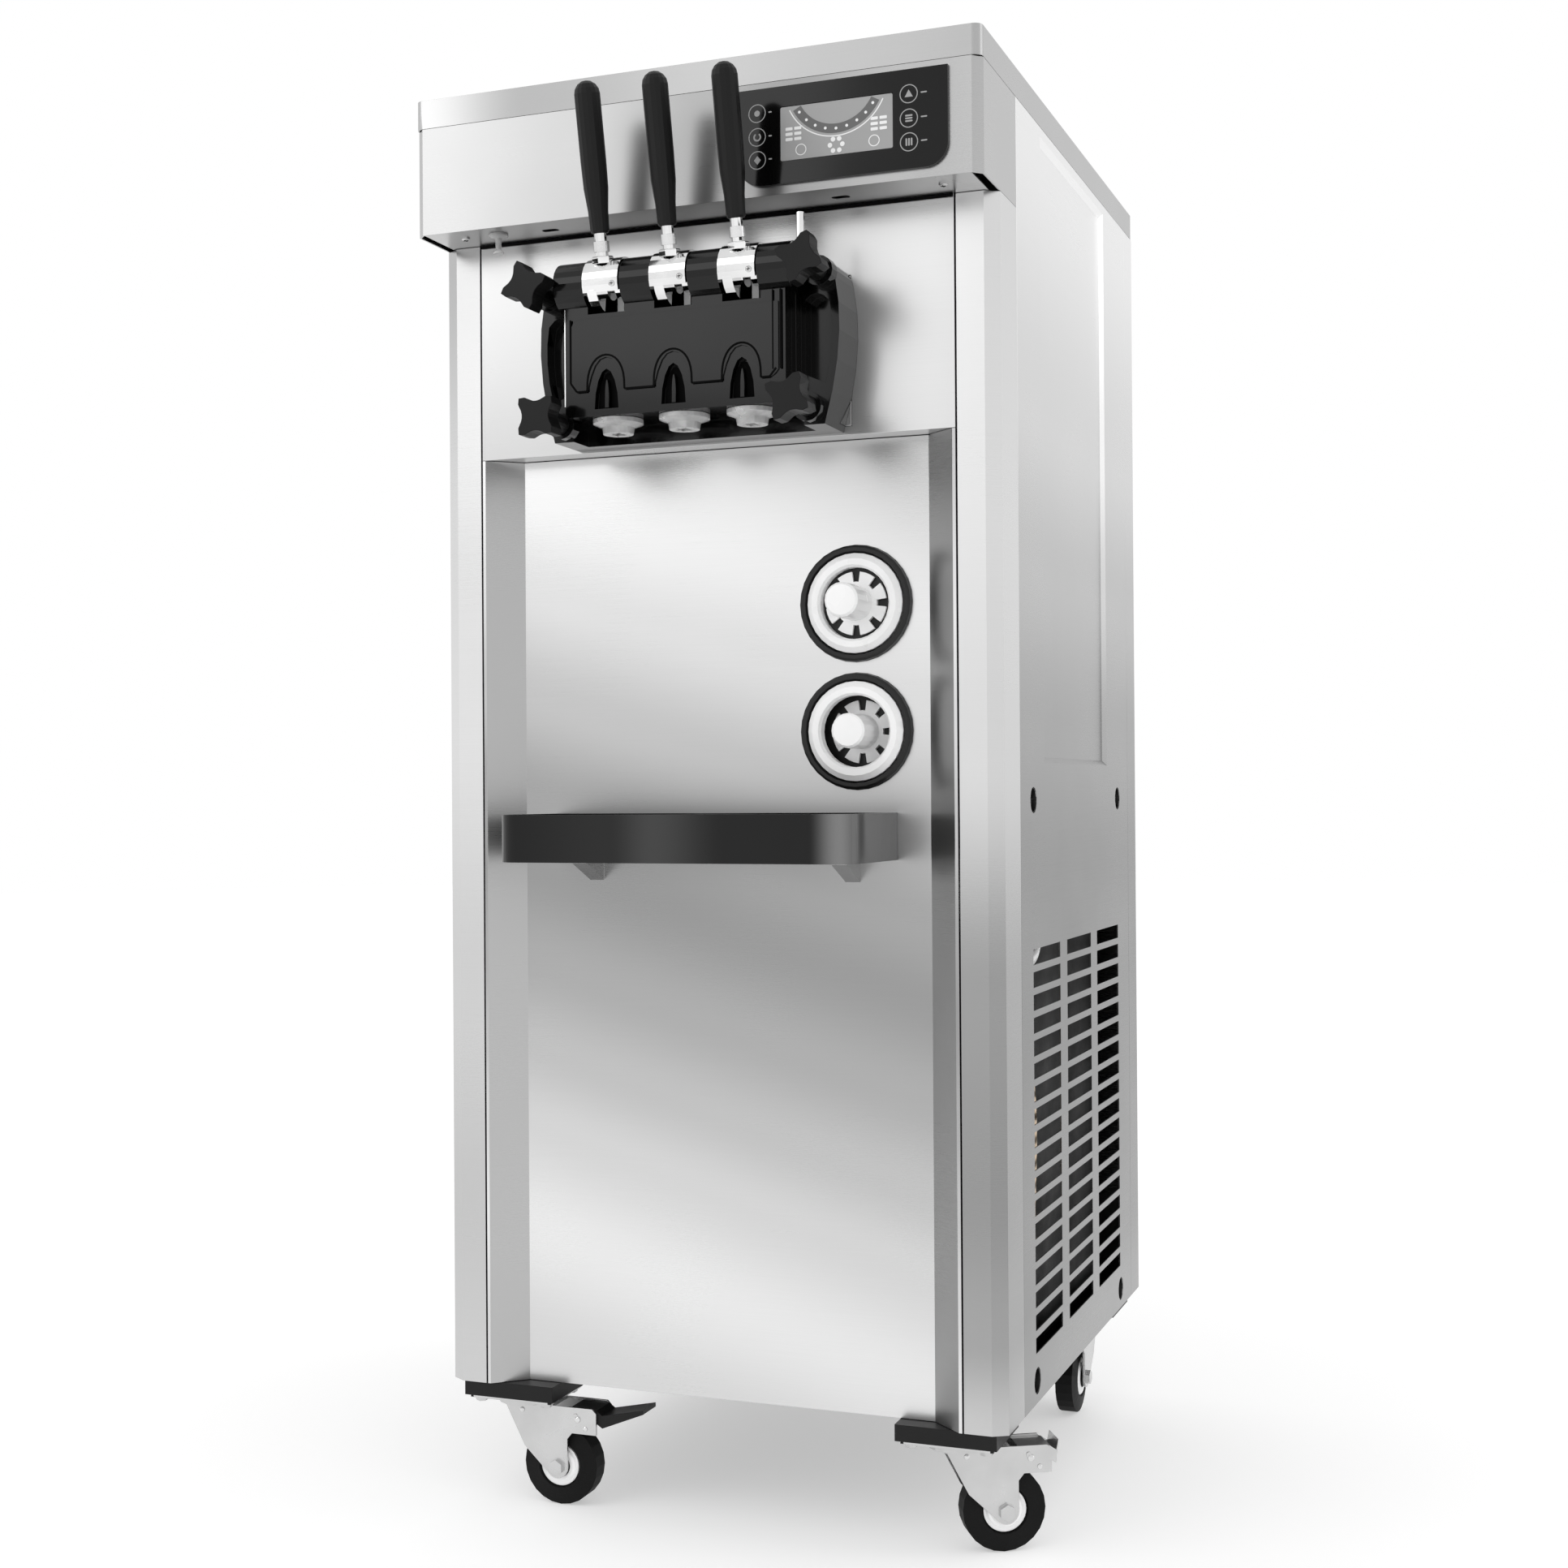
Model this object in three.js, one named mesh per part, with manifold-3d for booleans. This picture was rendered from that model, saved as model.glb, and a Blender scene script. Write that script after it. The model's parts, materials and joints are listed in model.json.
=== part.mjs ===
// A floor-standing soft ice cream machine: a stainless cabinet on four casters, two hoppers under
// a lid, two freezing cylinders, a black dispensing head with three taps, a drip tray and two
// cup dispensers. Millimetres, +Z up, front towards -Y.
import * as THREE from 'three';
import { mergeVertices } from 'three/addons/utils/BufferGeometryUtils.js';
import Module from 'manifold-3d';

const wasm = await Module();
wasm.setup();

// ---------------------------------------------------------------- driving dimensions
const gap = 0.3; // between pieces that touch
const runningGap = 0.5; // around pieces that turn or slide
const sheet = 1.5; // panel thickness
const bendRadius = 8; // rounded corners of head box and lid, seen from above
const flatTolerance = 0.005; // faces this close to one plane are joined

const cabinet = { width: 540, depth: 580, height: 1166, groundClearance: 118 };
const lid = { height: 26.5 };
const headBox = { height: 98, overhang: 53, flangeDepth: 20 };
const post = { face: 38, side: 62, chamferWidth: 13, chamferDepth: 8, lip: 20 };
const rearCorner = { side: 45 };
const upperPlate = { height: 202, ledge: 24 };
const door = { seam: 1.5, recess: 25, bevelWidth: 28.5, frontLip: 3, returnLip: 14 };

const half = cabinet.width / 2;
const cabinetBottom = cabinet.groundClearance;
const cabinetTop = cabinetBottom + cabinet.height;
// These two, and every bottom, top, height or z of a piece below, count from the cabinet's bottom edge.
const headBoxHeight = cabinet.height - headBox.height;
const doorHeight = headBoxHeight - upperPlate.height;
const headBottom = cabinetBottom + headBoxHeight;
const doorTop = cabinetBottom + doorHeight;
const doorHalf = half - post.face - door.seam;
const doorFlatHalf = doorHalf - door.frontLip - door.bevelWidth;

const vent = {
  columns: 3, columnPitch: 134, slotWidth: 105, firstColumn: 105,
  rows: 18, rowPitch: 20.6, slotHeight: 14, firstRow: 45,
};
const rearVent = {
  columns: 2, columnPitch: 190, slotWidth: 150,
  rows: 10, rowPitch: 26, slotHeight: 13, firstRow: 200,
};
const emboss = { front: 150, rear: cabinet.depth - 151, bottom: 577, topMargin: 8, depth: 4, bevel: 5 };
const screwCup = { radius: 12, depth: 6, rows: [20, 544], columns: [110, cabinet.depth - 100] };

const basePan = { thickness: 2.5, rim: 30, front: 27 };
const casterPad = { width: 92, length: 76, height: 15, coreHalf: 20 };
const casterPlate = { width: 84, length: 68, height: 3 };
const caster = {
  inset: 57, frontY: 45, rearY: cabinet.depth - 50, trail: 40, wheelRadius: 37.5, wheelWidth: 26,
  legThickness: 2.5, axleRadius: 4, boreClearance: 0.5, crownHeight: 13, swivelRadius: 27,
};
const pedal = { reachLeft: 128, reachRight: 88, pivotX: 60, pivotHeight: 87, pinRadius: 2.5 };

const cupSeat = 45.5;
const cupTop = doorHeight - 146;
const cup = {
  x: 131, heights: [cupTop, cupTop - 2 * cupSeat - 22.7], seatRadius: cupSeat, flangeRadius: cupSeat + 7,
  flangeProud: 6, collarProud: 9, collarHole: cupSeat - 13.5, collarDepth: 12, wall: 2.5, tubeDepth: 220,
};
const pusher = {
  noseRadius: 15.5, noseReach: 47, petalRadius: cupSeat - 17, petals: 8, petalGap: 0.34,
  petalThickness: 3, discRadius: cupSeat - 4.5, discThickness: 4, setBacks: [0, 16],
};

const trayHeight = 42;
const tray = {
  halfWidth: 168, front: -98, bottom: cup.heights[1] - cup.flangeRadius - 19.8 - trayHeight,
  height: trayHeight, wall: 2.5, floor: 3, cornerRadius: 22,
};
const trayBracket = { x: 126, width: 14, reach: 38, height: 20, tip: 3 };

const controls = {
  left: 54, right: 242, bottom: headBoxHeight + 8, top: headBoxHeight + 92, thickness: 3, cornerRadius: 20,
};
const display = { left: 92, right: 194, bottom: controls.bottom + 19, top: controls.top - 18, recess: 0.8 };

const barrelBore = 48;
const barrelRadius = barrelBore + 8;
const barrel = {
  boreRadius: barrelBore, radius: barrelRadius, spacing: 2 * barrelRadius + 16,
  height: doorHeight + barrelRadius + 20, length: 375, rearWall: 6,
};
const facePlate = {
  halfWidth: barrel.spacing / 2 + 72, bottom: barrel.height - barrel.radius - 12,
  top: barrel.height + barrel.radius + 8, thickness: 10,
};
const stud = {
  radius: 5, reach: 98, upperX: facePlate.halfWidth - 8, upperZ: facePlate.top - 9,
  lowerX: facePlate.halfWidth - 19, lowerZ: facePlate.bottom + 8,
};

const flange = {
  baseDepth: 20, depth: 50, bottom: facePlate.bottom - 6, top: facePlate.top + 6,
  halfBottom: facePlate.halfWidth - 7, halfTop: facePlate.halfWidth + 3, bulge: 8,
  cornerRadius: 18, rim: 7, pocketDepth: 14,
};
const tapPitch = barrel.spacing / 2;
const block = {
  halfWidth: tapPitch + 40, bottom: flange.bottom + 16, top: flange.top - 22, depth: 78, cornerRadius: 5,
};
const shoulder = { halfWidth: block.halfWidth + 4, depth: 63 };
const bar = { halfLength: block.halfWidth + 6, radius: 22, y: -68, z: block.top + 10 };
const valve = {
  radius: 12.7, bottom: block.bottom + 3, top: block.top - 28, bladeTop: bar.z + 8,
  bladeFront: -4, bladeRear: 10,
};
const tap = { pitch: tapPitch, slotHalf: 17.7, slotDrop: 26, boreRadius: valve.radius + 0.6, y: -54 };
const tapCentres = [-tap.pitch, 0, tap.pitch];
const relief = { width: 23, height: 35, bottom: block.bottom + 6, depth: 7 };
const raised = {
  halfWidth: block.halfWidth - 6, top: block.top - 20, bottom: block.bottom + 22,
  archRadius: 17, archRise: 29, depth: 1.5,
};
const boss = { radius: 13, depth: 62 };
const channel = { radius: 5.5, z: block.bottom + 10 };

const lever = {
  hubRadius: 23.5, coreRadius: 13, shellThickness: 3, halfWidth: 17, shellFrom: 60, shellTo: 205,
  tongueLeft: -13, tongueRight: -4, tongueTo: 262, bladeSlotLeft: 1.4, bladeSlotRight: 8.6,
  rodRadius: 5.5, rodOffset: 12, lean: 12, gripStart: 42, gripEnd: 170, pinRadius: 2,
  liftArm: 14, earWidth: 6,
};
const grip = { neckRadius: 8.3, bodyRadius: 11.2, neckLength: 38, buriedRod: 60 };
const handlePin = { radius: 3.5, upright: 46, uprightX: bar.halfLength + 4.5 };
const nozzle = {
  flangeRadius: 22.5, flangeHeight: 4, tipRadius: 13.5, height: 13, starRadius: 9, starPoints: 6,
};
const knob = {
  starOuter: 22.5, starInner: 13, lobes: 4, sharpness: 1.9, points: 28,
  front: -112, back: -92, collarRadius: 9,
};

const deck = { drop: 16, thickness: 2, lip: 3 };
const hopper = { x: 112, halfWidth: 98, front: 120, rear: 440, depth: 132, cornerRadius: 20 };
const feed = { x: barrel.spacing / 2 + 11, y: 210, radius: 11, wall: 2 };
const beater = {
  shaftRadius: 8, bladeRadius: barrel.boreRadius - 4, bladeInner: barrel.boreRadius - 12,
  bladeHalfHeight: 3, armRadius: 4, turns: 2.5, start: 12, end: 360, reach: 396, armInset: 10,
};
const reducer = { halfWidth: 42, front: 388, rear: 468, halfHeight: 46, boreRadius: 9.5, bridge: 16 };
const pulleys = {
  front: 480, width: 18, motorGroove: 32, reducerGroove: barrel.spacing / 2 - 6, flange: 5,
  belt: 6, shaftRadius: 7, shaftLength: 18,
};
const motor = {
  z: 330, radius: 70, front: 245, rear: 455, footWidth: 90, footHeight: 12, footSpread: 20,
};
const compressor = {
  x: -160, y: 235, radius: 82, height: 230, shoulder: 30, footHalf: [95, 60], footHeight: 14,
  pipeRadius: 6, pipeX: 30, pipeRise: 60, pipeReach: 70,
};
const condenser = {
  x: 205, thickness: 42, front: 90, rear: 490, bottom: 30, height: 400,
  shroudDepth: 36, shroudWall: 4, fanHole: 128, footLength: 30,
};
const fan = {
  radius: 120, hubRadius: 24, shaftRadius: 5, shaftLength: 18, blades: 5, bladeWidth: 62, bladeThickness: 3,
  width: 20, pitch: 28, standOff: 12, motorRadius: 34, motorLength: 45, clearance: 8, bridge: 14,
  bridgeHalfHeight: 10, bridgeOverlap: 16,
};
const gland = { x: -180, z: 60, radius: 10, nutRadius: 15, proud: 14 };

// ---------------------------------------------------------------- materials
function finish(color, roughness, metalness) {
  return new THREE.MeshStandardMaterial({ color, roughness, metalness });
}
const stainless = finish(0xc9c9cc, 0.3, 1);
const chrome = finish(0xe8e8ea, 0.08, 1);
const zinc = finish(0xd6d8da, 0.35, 1);
const paintedBlack = finish(0x17171a, 0.5, 0.1);
const glossBlack = finish(0x1d1d20, 0.12, 0);
const gripBlack = finish(0x232326, 0.55, 0);
const rubberBlack = finish(0x141415, 0.8, 0);
const whitePlastic = finish(0xf1f1ef, 0.35, 0);
const clearPlastic = finish(0xdfe3e6, 0.1, 0);
const greyCasting = finish(0x8b8f94, 0.55, 0.6);
const copperCoil = finish(0xb5714a, 0.4, 0.9);
const beltRubber = finish(0x1a1a1a, 0.9, 0);

// ---------------------------------------------------------------- solids
function toSolid(geometry) {
  geometry.deleteAttribute('normal');
  geometry.deleteAttribute('uv');
  const merged = mergeVertices(geometry, 1e-4);
  return new wasm.Manifold(new wasm.Mesh({
    numProp: 3,
    vertProperties: Float32Array.from(merged.attributes.position.array),
    triVerts: Uint32Array.from(merged.index.array),
  }));
}

function toGeometry(solid) {
  const mesh = solid.getMesh();
  const geometry = new THREE.BufferGeometry();
  geometry.setAttribute('position', new THREE.BufferAttribute(mesh.vertProperties, 3));
  geometry.setIndex(new THREE.BufferAttribute(mesh.triVerts, 1));
  geometry.computeVertexNormals();
  return geometry;
}

const join = (...solids) => solids.flat().reduce((whole, piece) => whole.add(piece));
const cut = (solid, ...tools) => tools.flat().reduce((rest, tool) => rest.subtract(tool), solid);

function box([x0, x1], [y0, y1], [z0, z1]) {
  const geometry = new THREE.BoxGeometry(x1 - x0, y1 - y0, z1 - z0);
  geometry.translate((x0 + x1) / 2, (y0 + y1) / 2, (z0 + z1) / 2);
  return toSolid(geometry);
}

// Local z becomes the named axis; the other two keep the order x, y, z.
const axisFrames = {
  x: [[0, 1, 0], [0, 0, 1], [1, 0, 0]],
  y: [[1, 0, 0], [0, 0, 1], [0, -1, 0]],
  z: [[1, 0, 0], [0, 1, 0], [0, 0, 1]],
};

function alongAxis(geometry, axis, from, to) {
  const basis = axisFrames[axis].map((row) => new THREE.Vector3(...row));
  const start = axis === 'y' ? to : from;
  const origin = { x: [start, 0, 0], y: [0, start, 0], z: [0, 0, start] }[axis];
  geometry.applyMatrix4(new THREE.Matrix4().makeBasis(...basis).setPosition(...origin));
  return geometry;
}

function prism(axis, shape, [from, to], curveSegments = 6) {
  const settings = { depth: to - from, bevelEnabled: false, curveSegments };
  return toSolid(alongAxis(new THREE.ExtrudeGeometry(shape, settings), axis, from, to));
}

function polygon(points) {
  return new THREE.Shape(points.map(([x, y]) => new THREE.Vector2(x, y)));
}

function roundedRectangle(x0, x1, y0, y1, radius) {
  const shape = new THREE.Shape();
  shape.absarc(x1 - radius, y0 + radius, radius, -Math.PI / 2, 0);
  shape.absarc(x1 - radius, y1 - radius, radius, 0, Math.PI / 2);
  shape.absarc(x0 + radius, y1 - radius, radius, Math.PI / 2, Math.PI);
  shape.absarc(x0 + radius, y0 + radius, radius, Math.PI, Math.PI * 1.5);
  return shape;
}

// A round bar along an axis; centre gives its two other coordinates.
function rod(axis, radius, [from, to], [a, b] = [0, 0], sides = 24) {
  const geometry = new THREE.CylinderGeometry(radius, radius, to - from, sides);
  geometry.rotateX(Math.PI / 2);
  geometry.translate(a, b, (to - from) / 2);
  return toSolid(alongAxis(geometry, axis, from, to));
}

function strut(start, end, radius, sides = 10) {
  const from = new THREE.Vector3(...start);
  const to = new THREE.Vector3(...end);
  const direction = to.clone().sub(from);
  const geometry = new THREE.CylinderGeometry(radius, radius, direction.length(), sides);
  const upright = new THREE.Vector3(0, 1, 0);
  geometry.applyQuaternion(new THREE.Quaternion().setFromUnitVectors(upright, direction.clone().normalize()));
  geometry.translate(...from.add(to).multiplyScalar(0.5).toArray());
  return toSolid(geometry);
}

// A turned piece: profile points are [radius, height], and height runs along the axis.
function turned(axis, profile, [a, b] = [0, 0], sides = 32) {
  const area = profile.reduce((sum, [r, h], i) => {
    const [nextR, nextH] = profile[(i + 1) % profile.length];
    return sum + r * nextH - nextR * h;
  }, 0);
  const outline = area > 0 ? profile : [...profile].reverse();
  const points = outline.map(([r, h]) => new THREE.Vector2(r, h));
  if (outline.every(([r]) => r > 0)) points.push(points[0].clone());
  const geometry = new THREE.LatheGeometry(points, sides);
  geometry.rotateX(Math.PI / 2);
  if (axis === 'y') geometry.scale(1, 1, -1);
  if (axis === 'y') geometry.index.array.reverse();
  geometry.translate(a, b, 0);
  return toSolid(alongAxis(geometry, axis, 0, 0));
}

// The plan of a folded sheet: the path is its outer face and the thickness lies to its left.
function foldedSheet(path, thickness = sheet) {
  const inner = path.map((point, i) => {
    const steps = [[path[i - 1], point], [point, path[i + 1]]].filter(([a, b]) => a && b);
    const normals = steps.map(([a, b]) => new THREE.Vector2(a[1] - b[1], b[0] - a[0]).normalize());
    const sum = normals.reduce((total, normal) => total.clone().add(normal));
    const scale = normals.length === 2 ? thickness / (1 + normals[0].dot(normals[1])) : thickness;
    return [point[0] + sum.x * scale, point[1] + sum.y * scale];
  });
  return polygon([...path, ...inner.reverse()]);
}

const ordered = (a, b) => [Math.min(a, b), Math.max(a, b)];
const mirrored = (path) => path.map(([x, y]) => [-x, y]).reverse();

function convexOutline(points) {
  const sorted = [...points].sort((p, q) => p[0] - q[0] || p[1] - q[1]);
  const turns = (o, a, b) => (a[0] - o[0]) * (b[1] - o[1]) - (a[1] - o[1]) * (b[0] - o[0]);
  const chain = (list) => {
    const kept = [];
    for (const point of list) {
      while (kept.length > 1 && turns(kept.at(-2), kept.at(-1), point) <= 1e-6) kept.pop();
      kept.push(point);
    }
    return kept.slice(0, -1);
  };
  return [...chain(sorted), ...chain([...sorted].reverse())];
}

function circlePoints(radius, [a, b], count = 36) {
  return Array.from({ length: count }, (_, i) => {
    const angle = (i / count) * 2 * Math.PI;
    return [a + radius * Math.cos(angle), b + radius * Math.sin(angle)];
  });
}

// Part of a disc or ring between two angles in degrees, as a shape.
function sector(inner, outer, fromDegrees, toDegrees, steps = 10) {
  const arc = (radius) => Array.from({ length: steps + 1 }, (_, i) => {
    const angle = THREE.MathUtils.degToRad(fromDegrees + ((toDegrees - fromDegrees) * i) / steps);
    return [radius * Math.cos(angle), radius * Math.sin(angle)];
  });
  return polygon([...arc(outer), ...arc(inner).reverse()]);
}

// ---------------------------------------------------------------- assembly
const machine = new THREE.Group();

function addPart(name, solid, material, parent = machine) {
  const mesh = new THREE.Mesh(toGeometry(solid.asOriginal().simplify(flatTolerance)), material);
  mesh.name = name;
  parent.add(mesh);
  return mesh;
}

function groupAt(x, y, z, parent = machine) {
  const group = new THREE.Group();
  group.position.set(x, y, z);
  parent.add(group);
  return group;
}

const sides = [['left', -1], ['right', 1]];
const up = (heightOnCabinet) => cabinetBottom + heightOnCabinet;

// ---------------------------------------------------------------- cabinet
function buildBaseFrame() {
  const innerHalf = half - screwCup.depth - sheet - gap;
  const rear = cabinet.depth - sheet - gap;
  const pan = box([-innerHalf, innerHalf], [basePan.front, rear], [cabinetBottom, up(basePan.rim)]);
  const wall = basePan.thickness;
  const core = casterPad.coreHalf;
  const hollow = box(
    [-innerHalf + wall, innerHalf - wall], [basePan.front + wall, rear - wall],
    [up(wall), up(basePan.rim + 1)],
  );
  const pads = casterPositions().flatMap(({ x, y }) => {
    const padTop = cabinetBottom - gap;
    const padBottom = cabinetBottom - casterPad.height;
    const padHalf = [casterPad.width / 2, casterPad.length / 2];
    const plateHalf = [casterPlate.width / 2, casterPlate.length / 2];
    return [
      box([x - padHalf[0], x + padHalf[0]], [y - padHalf[1], y + padHalf[1]], [padBottom, padTop]),
      box([x - core, x + core], [Math.max(y - core, basePan.front + wall), y + core], [padTop - 1, up(1)]),
      box(
        [x - plateHalf[0], x + plateHalf[0]], [y - plateHalf[1], y + plateHalf[1]],
        [padBottom - casterPlate.height, padBottom + 1],
      ),
    ];
  });
  addPart('base_frame', join(cut(pan, hollow), pads), paintedBlack);
}

function ventSlots(pattern, axis, across, firstColumn, bottom) {
  const slots = [];
  for (let column = 0; column < pattern.columns; column += 1) {
    for (let row = 0; row < pattern.rows; row += 1) {
      const start = firstColumn + column * pattern.columnPitch;
      const along = [start, start + pattern.slotWidth];
      const low = bottom + row * pattern.rowPitch;
      const high = [low, low + pattern.slotHeight];
      slots.push(axis === 'x' ? box(across, along, high) : box(along, across, high));
    }
  }
  return slots;
}

// A rectangular hollow in a side face that narrows as it goes in.
function embossHollow(side, top) {
  const face = side * half;
  const slope = emboss.bevel / emboss.depth;
  const corners = [[1, -slope], [-emboss.depth, emboss.bevel]].map(([outward, shrink]) => {
    const inset = sheet + shrink;
    return [face + side * outward, inset];
  });
  const geometry = new THREE.BoxGeometry(1, 1, 1);
  const { position } = geometry.attributes;
  for (let i = 0; i < position.count; i += 1) {
    const [x, inset] = corners[position.getX(i) * side > 0 ? 0 : 1];
    const y = position.getY(i) < 0 ? emboss.front + inset : emboss.rear - inset;
    const z = position.getZ(i) < 0 ? up(emboss.bottom) + inset : top - inset;
    position.setXYZ(i, x, y, z);
  }
  return toSolid(geometry);
}

function buildSidePanels() {
  const front = post.side + gap;
  const rear = cabinet.depth - rearCorner.side - gap;
  for (const [name, side] of sides) {
    const outer = side * half;
    const span = (inner, beyond) => ordered(outer - side * inner, outer + side * beyond);
    const panel = box(span(sheet, 0), [front, rear], [cabinetBottom, cabinetTop]);
    const top = cabinetTop - emboss.topMargin;
    const backing = box(
      span(emboss.depth + sheet, 0), [emboss.front, emboss.rear], [up(emboss.bottom), top],
    );
    const pressed = cut(join(panel, backing), embossHollow(side, top));
    const cups = screwCup.columns.flatMap((y) => screwCup.rows.map((z) => [y, up(z)]));
    const wallSpan = span(screwCup.depth + sheet, 0);
    const cupWalls = cups.map((at) => rod('x', screwCup.radius + sheet, wallSpan, at, 14));
    const cupHollows = cups.map((at) => rod('x', screwCup.radius, span(screwCup.depth, 1), at, 14));
    const slots = ventSlots(vent, 'x', span(sheet + 1, 1), vent.firstColumn, up(vent.firstRow));
    addPart(`${name}_side_panel`, cut(join(pressed, cupWalls), cupHollows, slots), stainless);
  }
}

function buildCornerPosts() {
  const path = [
    [half - post.face, post.lip], [half - post.face, 0], [half - post.chamferWidth, 0],
    [half, post.chamferDepth], [half, post.side],
  ];
  for (const [name, side] of sides) {
    const plan = foldedSheet(side > 0 ? path : mirrored(path));
    addPart(`${name}_corner_post`, prism('z', plan, [cabinetBottom, headBottom - gap]), stainless);
  }
}

function buildBackPanel() {
  const rear = cabinet.depth;
  const front = rear - rearCorner.side;
  const fold = 3;
  const path = [[half, front], [half, rear - fold], [half - fold, rear]];
  const plan = foldedSheet([...path, ...mirrored(path)]);
  const shell = prism('z', plan, [cabinetBottom, cabinetTop]);
  const firstColumn = -((rearVent.columns - 1) * rearVent.columnPitch + rearVent.slotWidth) / 2;
  const across = [rear - sheet - 1, rear + 1];
  const slots = ventSlots(rearVent, 'y', across, firstColumn, up(rearVent.firstRow));
  const glandHole = rod('y', gland.radius + gap, across, [gland.x, up(gland.z)], 20);
  addPart('back_panel', cut(shell, slots, glandHole), stainless);
}

function buildDoor() {
  const flatHalf = doorFlatHalf;
  const rightSide = [
    [flatHalf, door.recess], [doorHalf - door.frontLip, 0], [doorHalf, 0], [doorHalf, door.returnLip],
  ];
  const plan = foldedSheet([...mirrored(rightSide), ...rightSide]);
  const panel = prism('z', plan, [cabinetBottom, doorTop - gap]);
  const holes = cup.heights.map((z) => (
    rod('y', cup.seatRadius + gap, [door.recess - 1, door.recess + sheet + 1], [cup.x, up(z)], 32)
  ));
  const top = up(tray.bottom) - gap;
  const bracketSide = polygon([
    [door.recess + sheet / 2, top], [door.recess - trayBracket.reach, top],
    [door.recess - trayBracket.reach, top - trayBracket.tip],
    [door.recess + sheet / 2, top - trayBracket.height],
  ]);
  const brackets = sides.map(([, side]) => {
    const x = side * trayBracket.x;
    return prism('x', bracketSide, [x - trayBracket.width / 2, x + trayBracket.width / 2]);
  });
  addPart('front_door', join(cut(panel, holes), brackets), stainless);
}

function buildHeadFascia() {
  const front = -headBox.overhang;
  const path = [[half - bendRadius, front], [half, front + bendRadius], [half, post.side]];
  const walls = prism('z', foldedSheet([...mirrored(path), ...path]), [headBottom, cabinetTop]);
  const inset = bendRadius + 1;
  const floor = box(
    [-half + inset, half - inset], [front + sheet / 2, headBox.flangeDepth], [headBottom, headBottom + sheet],
  );
  const holes = [-145, 136].map((x) => (
    prism('z', roundedRectangle(x - 8, x + 8, -29, -20, 4), [headBottom - 1, headBottom + sheet + 1])
  ));
  addPart('head_fascia', cut(join(walls, floor), holes), stainless);
}

function buildUpperFrontPlate() {
  const plate = box([-doorHalf, doorHalf], [0, sheet], [doorTop, headBottom - gap]);
  const ledge = box([-doorHalf, doorHalf], [0, upperPlate.ledge], [doorTop, doorTop + sheet]);
  const lips = sides.map(([, side]) => {
    const edge = side * doorHalf;
    return box(ordered(edge, edge - side * sheet), [0, door.returnLip], [doorTop, headBottom - gap]);
  });
  const opening = box(
    [-facePlate.halfWidth - gap, facePlate.halfWidth + gap], [-1, sheet + 1],
    [up(facePlate.bottom) - gap, up(facePlate.top) + gap],
  );
  addPart('upper_front_plate', cut(join(plate, ledge, lips), opening), stainless);
}

function buildLid() {
  const front = -headBox.overhang;
  const bottom = cabinetTop + gap;
  const top = cabinetTop + lid.height;
  const outline = roundedRectangle(-half, half, front, cabinet.depth, bendRadius);
  const inside = roundedRectangle(
    -half + sheet, half - sheet, front + sheet, cabinet.depth - sheet, bendRadius - sheet,
  );
  const hollow = prism('z', inside, [bottom - 1, top - sheet], 4);
  addPart('lid', cut(prism('z', outline, [bottom, top], 4), hollow), stainless);
}

function buildHopperDeck() {
  const innerHalf = half - sheet - gap;
  const bottom = cabinetTop - deck.drop;
  const plateTop = bottom + deck.thickness;
  const rear = cabinet.depth - sheet - gap;
  const front = -headBox.overhang + bendRadius;
  const plate = box([-innerHalf + 5, innerHalf - 5], [front, rear], [bottom, plateTop]);
  const barrelTop = up(barrel.height) + barrel.radius + gap;
  const wells = sides.map(([, side]) => {
    const x = side * hopper.x;
    const feedCentre = [side * feed.x, feed.y];
    const outline = (shrink) => roundedRectangle(
      x - hopper.halfWidth + shrink, x + hopper.halfWidth - shrink,
      hopper.front + shrink, hopper.rear - shrink, hopper.cornerRadius - shrink,
    );
    const floor = plateTop - hopper.depth;
    return {
      shell: prism('z', outline(0), [floor, plateTop + deck.lip], 3),
      hollow: prism('z', outline(sheet), [floor + sheet, plateTop + deck.lip + 1], 3),
      pipe: rod('z', feed.radius, [barrelTop, floor + 1], feedCentre, 12),
      drain: rod('z', feed.radius - feed.wall, [up(barrel.height), floor + sheet + 1], feedCentre, 12),
    };
  });
  const solid = join(plate, wells.map((well) => well.shell), wells.map((well) => well.pipe));
  const hollows = wells.flatMap((well) => [well.hollow, well.drain]);
  addPart('hopper_deck', cut(solid, hollows), stainless);
}

function buildControls() {
  const face = -headBox.overhang - gap;
  const shape = new THREE.Shape();
  const { left, right, cornerRadius: r } = controls;
  const bottom = up(controls.bottom);
  const top = up(controls.top);
  shape.moveTo(left, top);
  shape.lineTo(left, bottom + r);
  shape.absarc(left + r, bottom + r, r, Math.PI, Math.PI * 1.5);
  shape.absarc(right - r, bottom + r, r, Math.PI * 1.5, Math.PI * 2);
  shape.lineTo(right, top);
  const glass = prism('y', shape, [face - controls.thickness, face]);
  const front = face - controls.thickness;
  const window = box(
    [display.left, display.right], [front - 1, front + display.recess], [up(display.bottom), up(display.top)],
  );
  addPart('control_panel', cut(glass, window), glossBlack);
}

// ---------------------------------------------------------------- casters
function casterPositions() {
  const x = half - caster.inset;
  return [
    { name: 'front_left', x: -x, y: caster.frontY, turn: 0, pedalReach: pedal.reachLeft },
    { name: 'front_right', x, y: caster.frontY, turn: 30, pedalReach: pedal.reachRight },
    { name: 'rear_left', x: -x, y: caster.rearY, turn: -90 },
    { name: 'rear_right', x, y: caster.rearY, turn: -90 },
  ];
}

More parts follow.
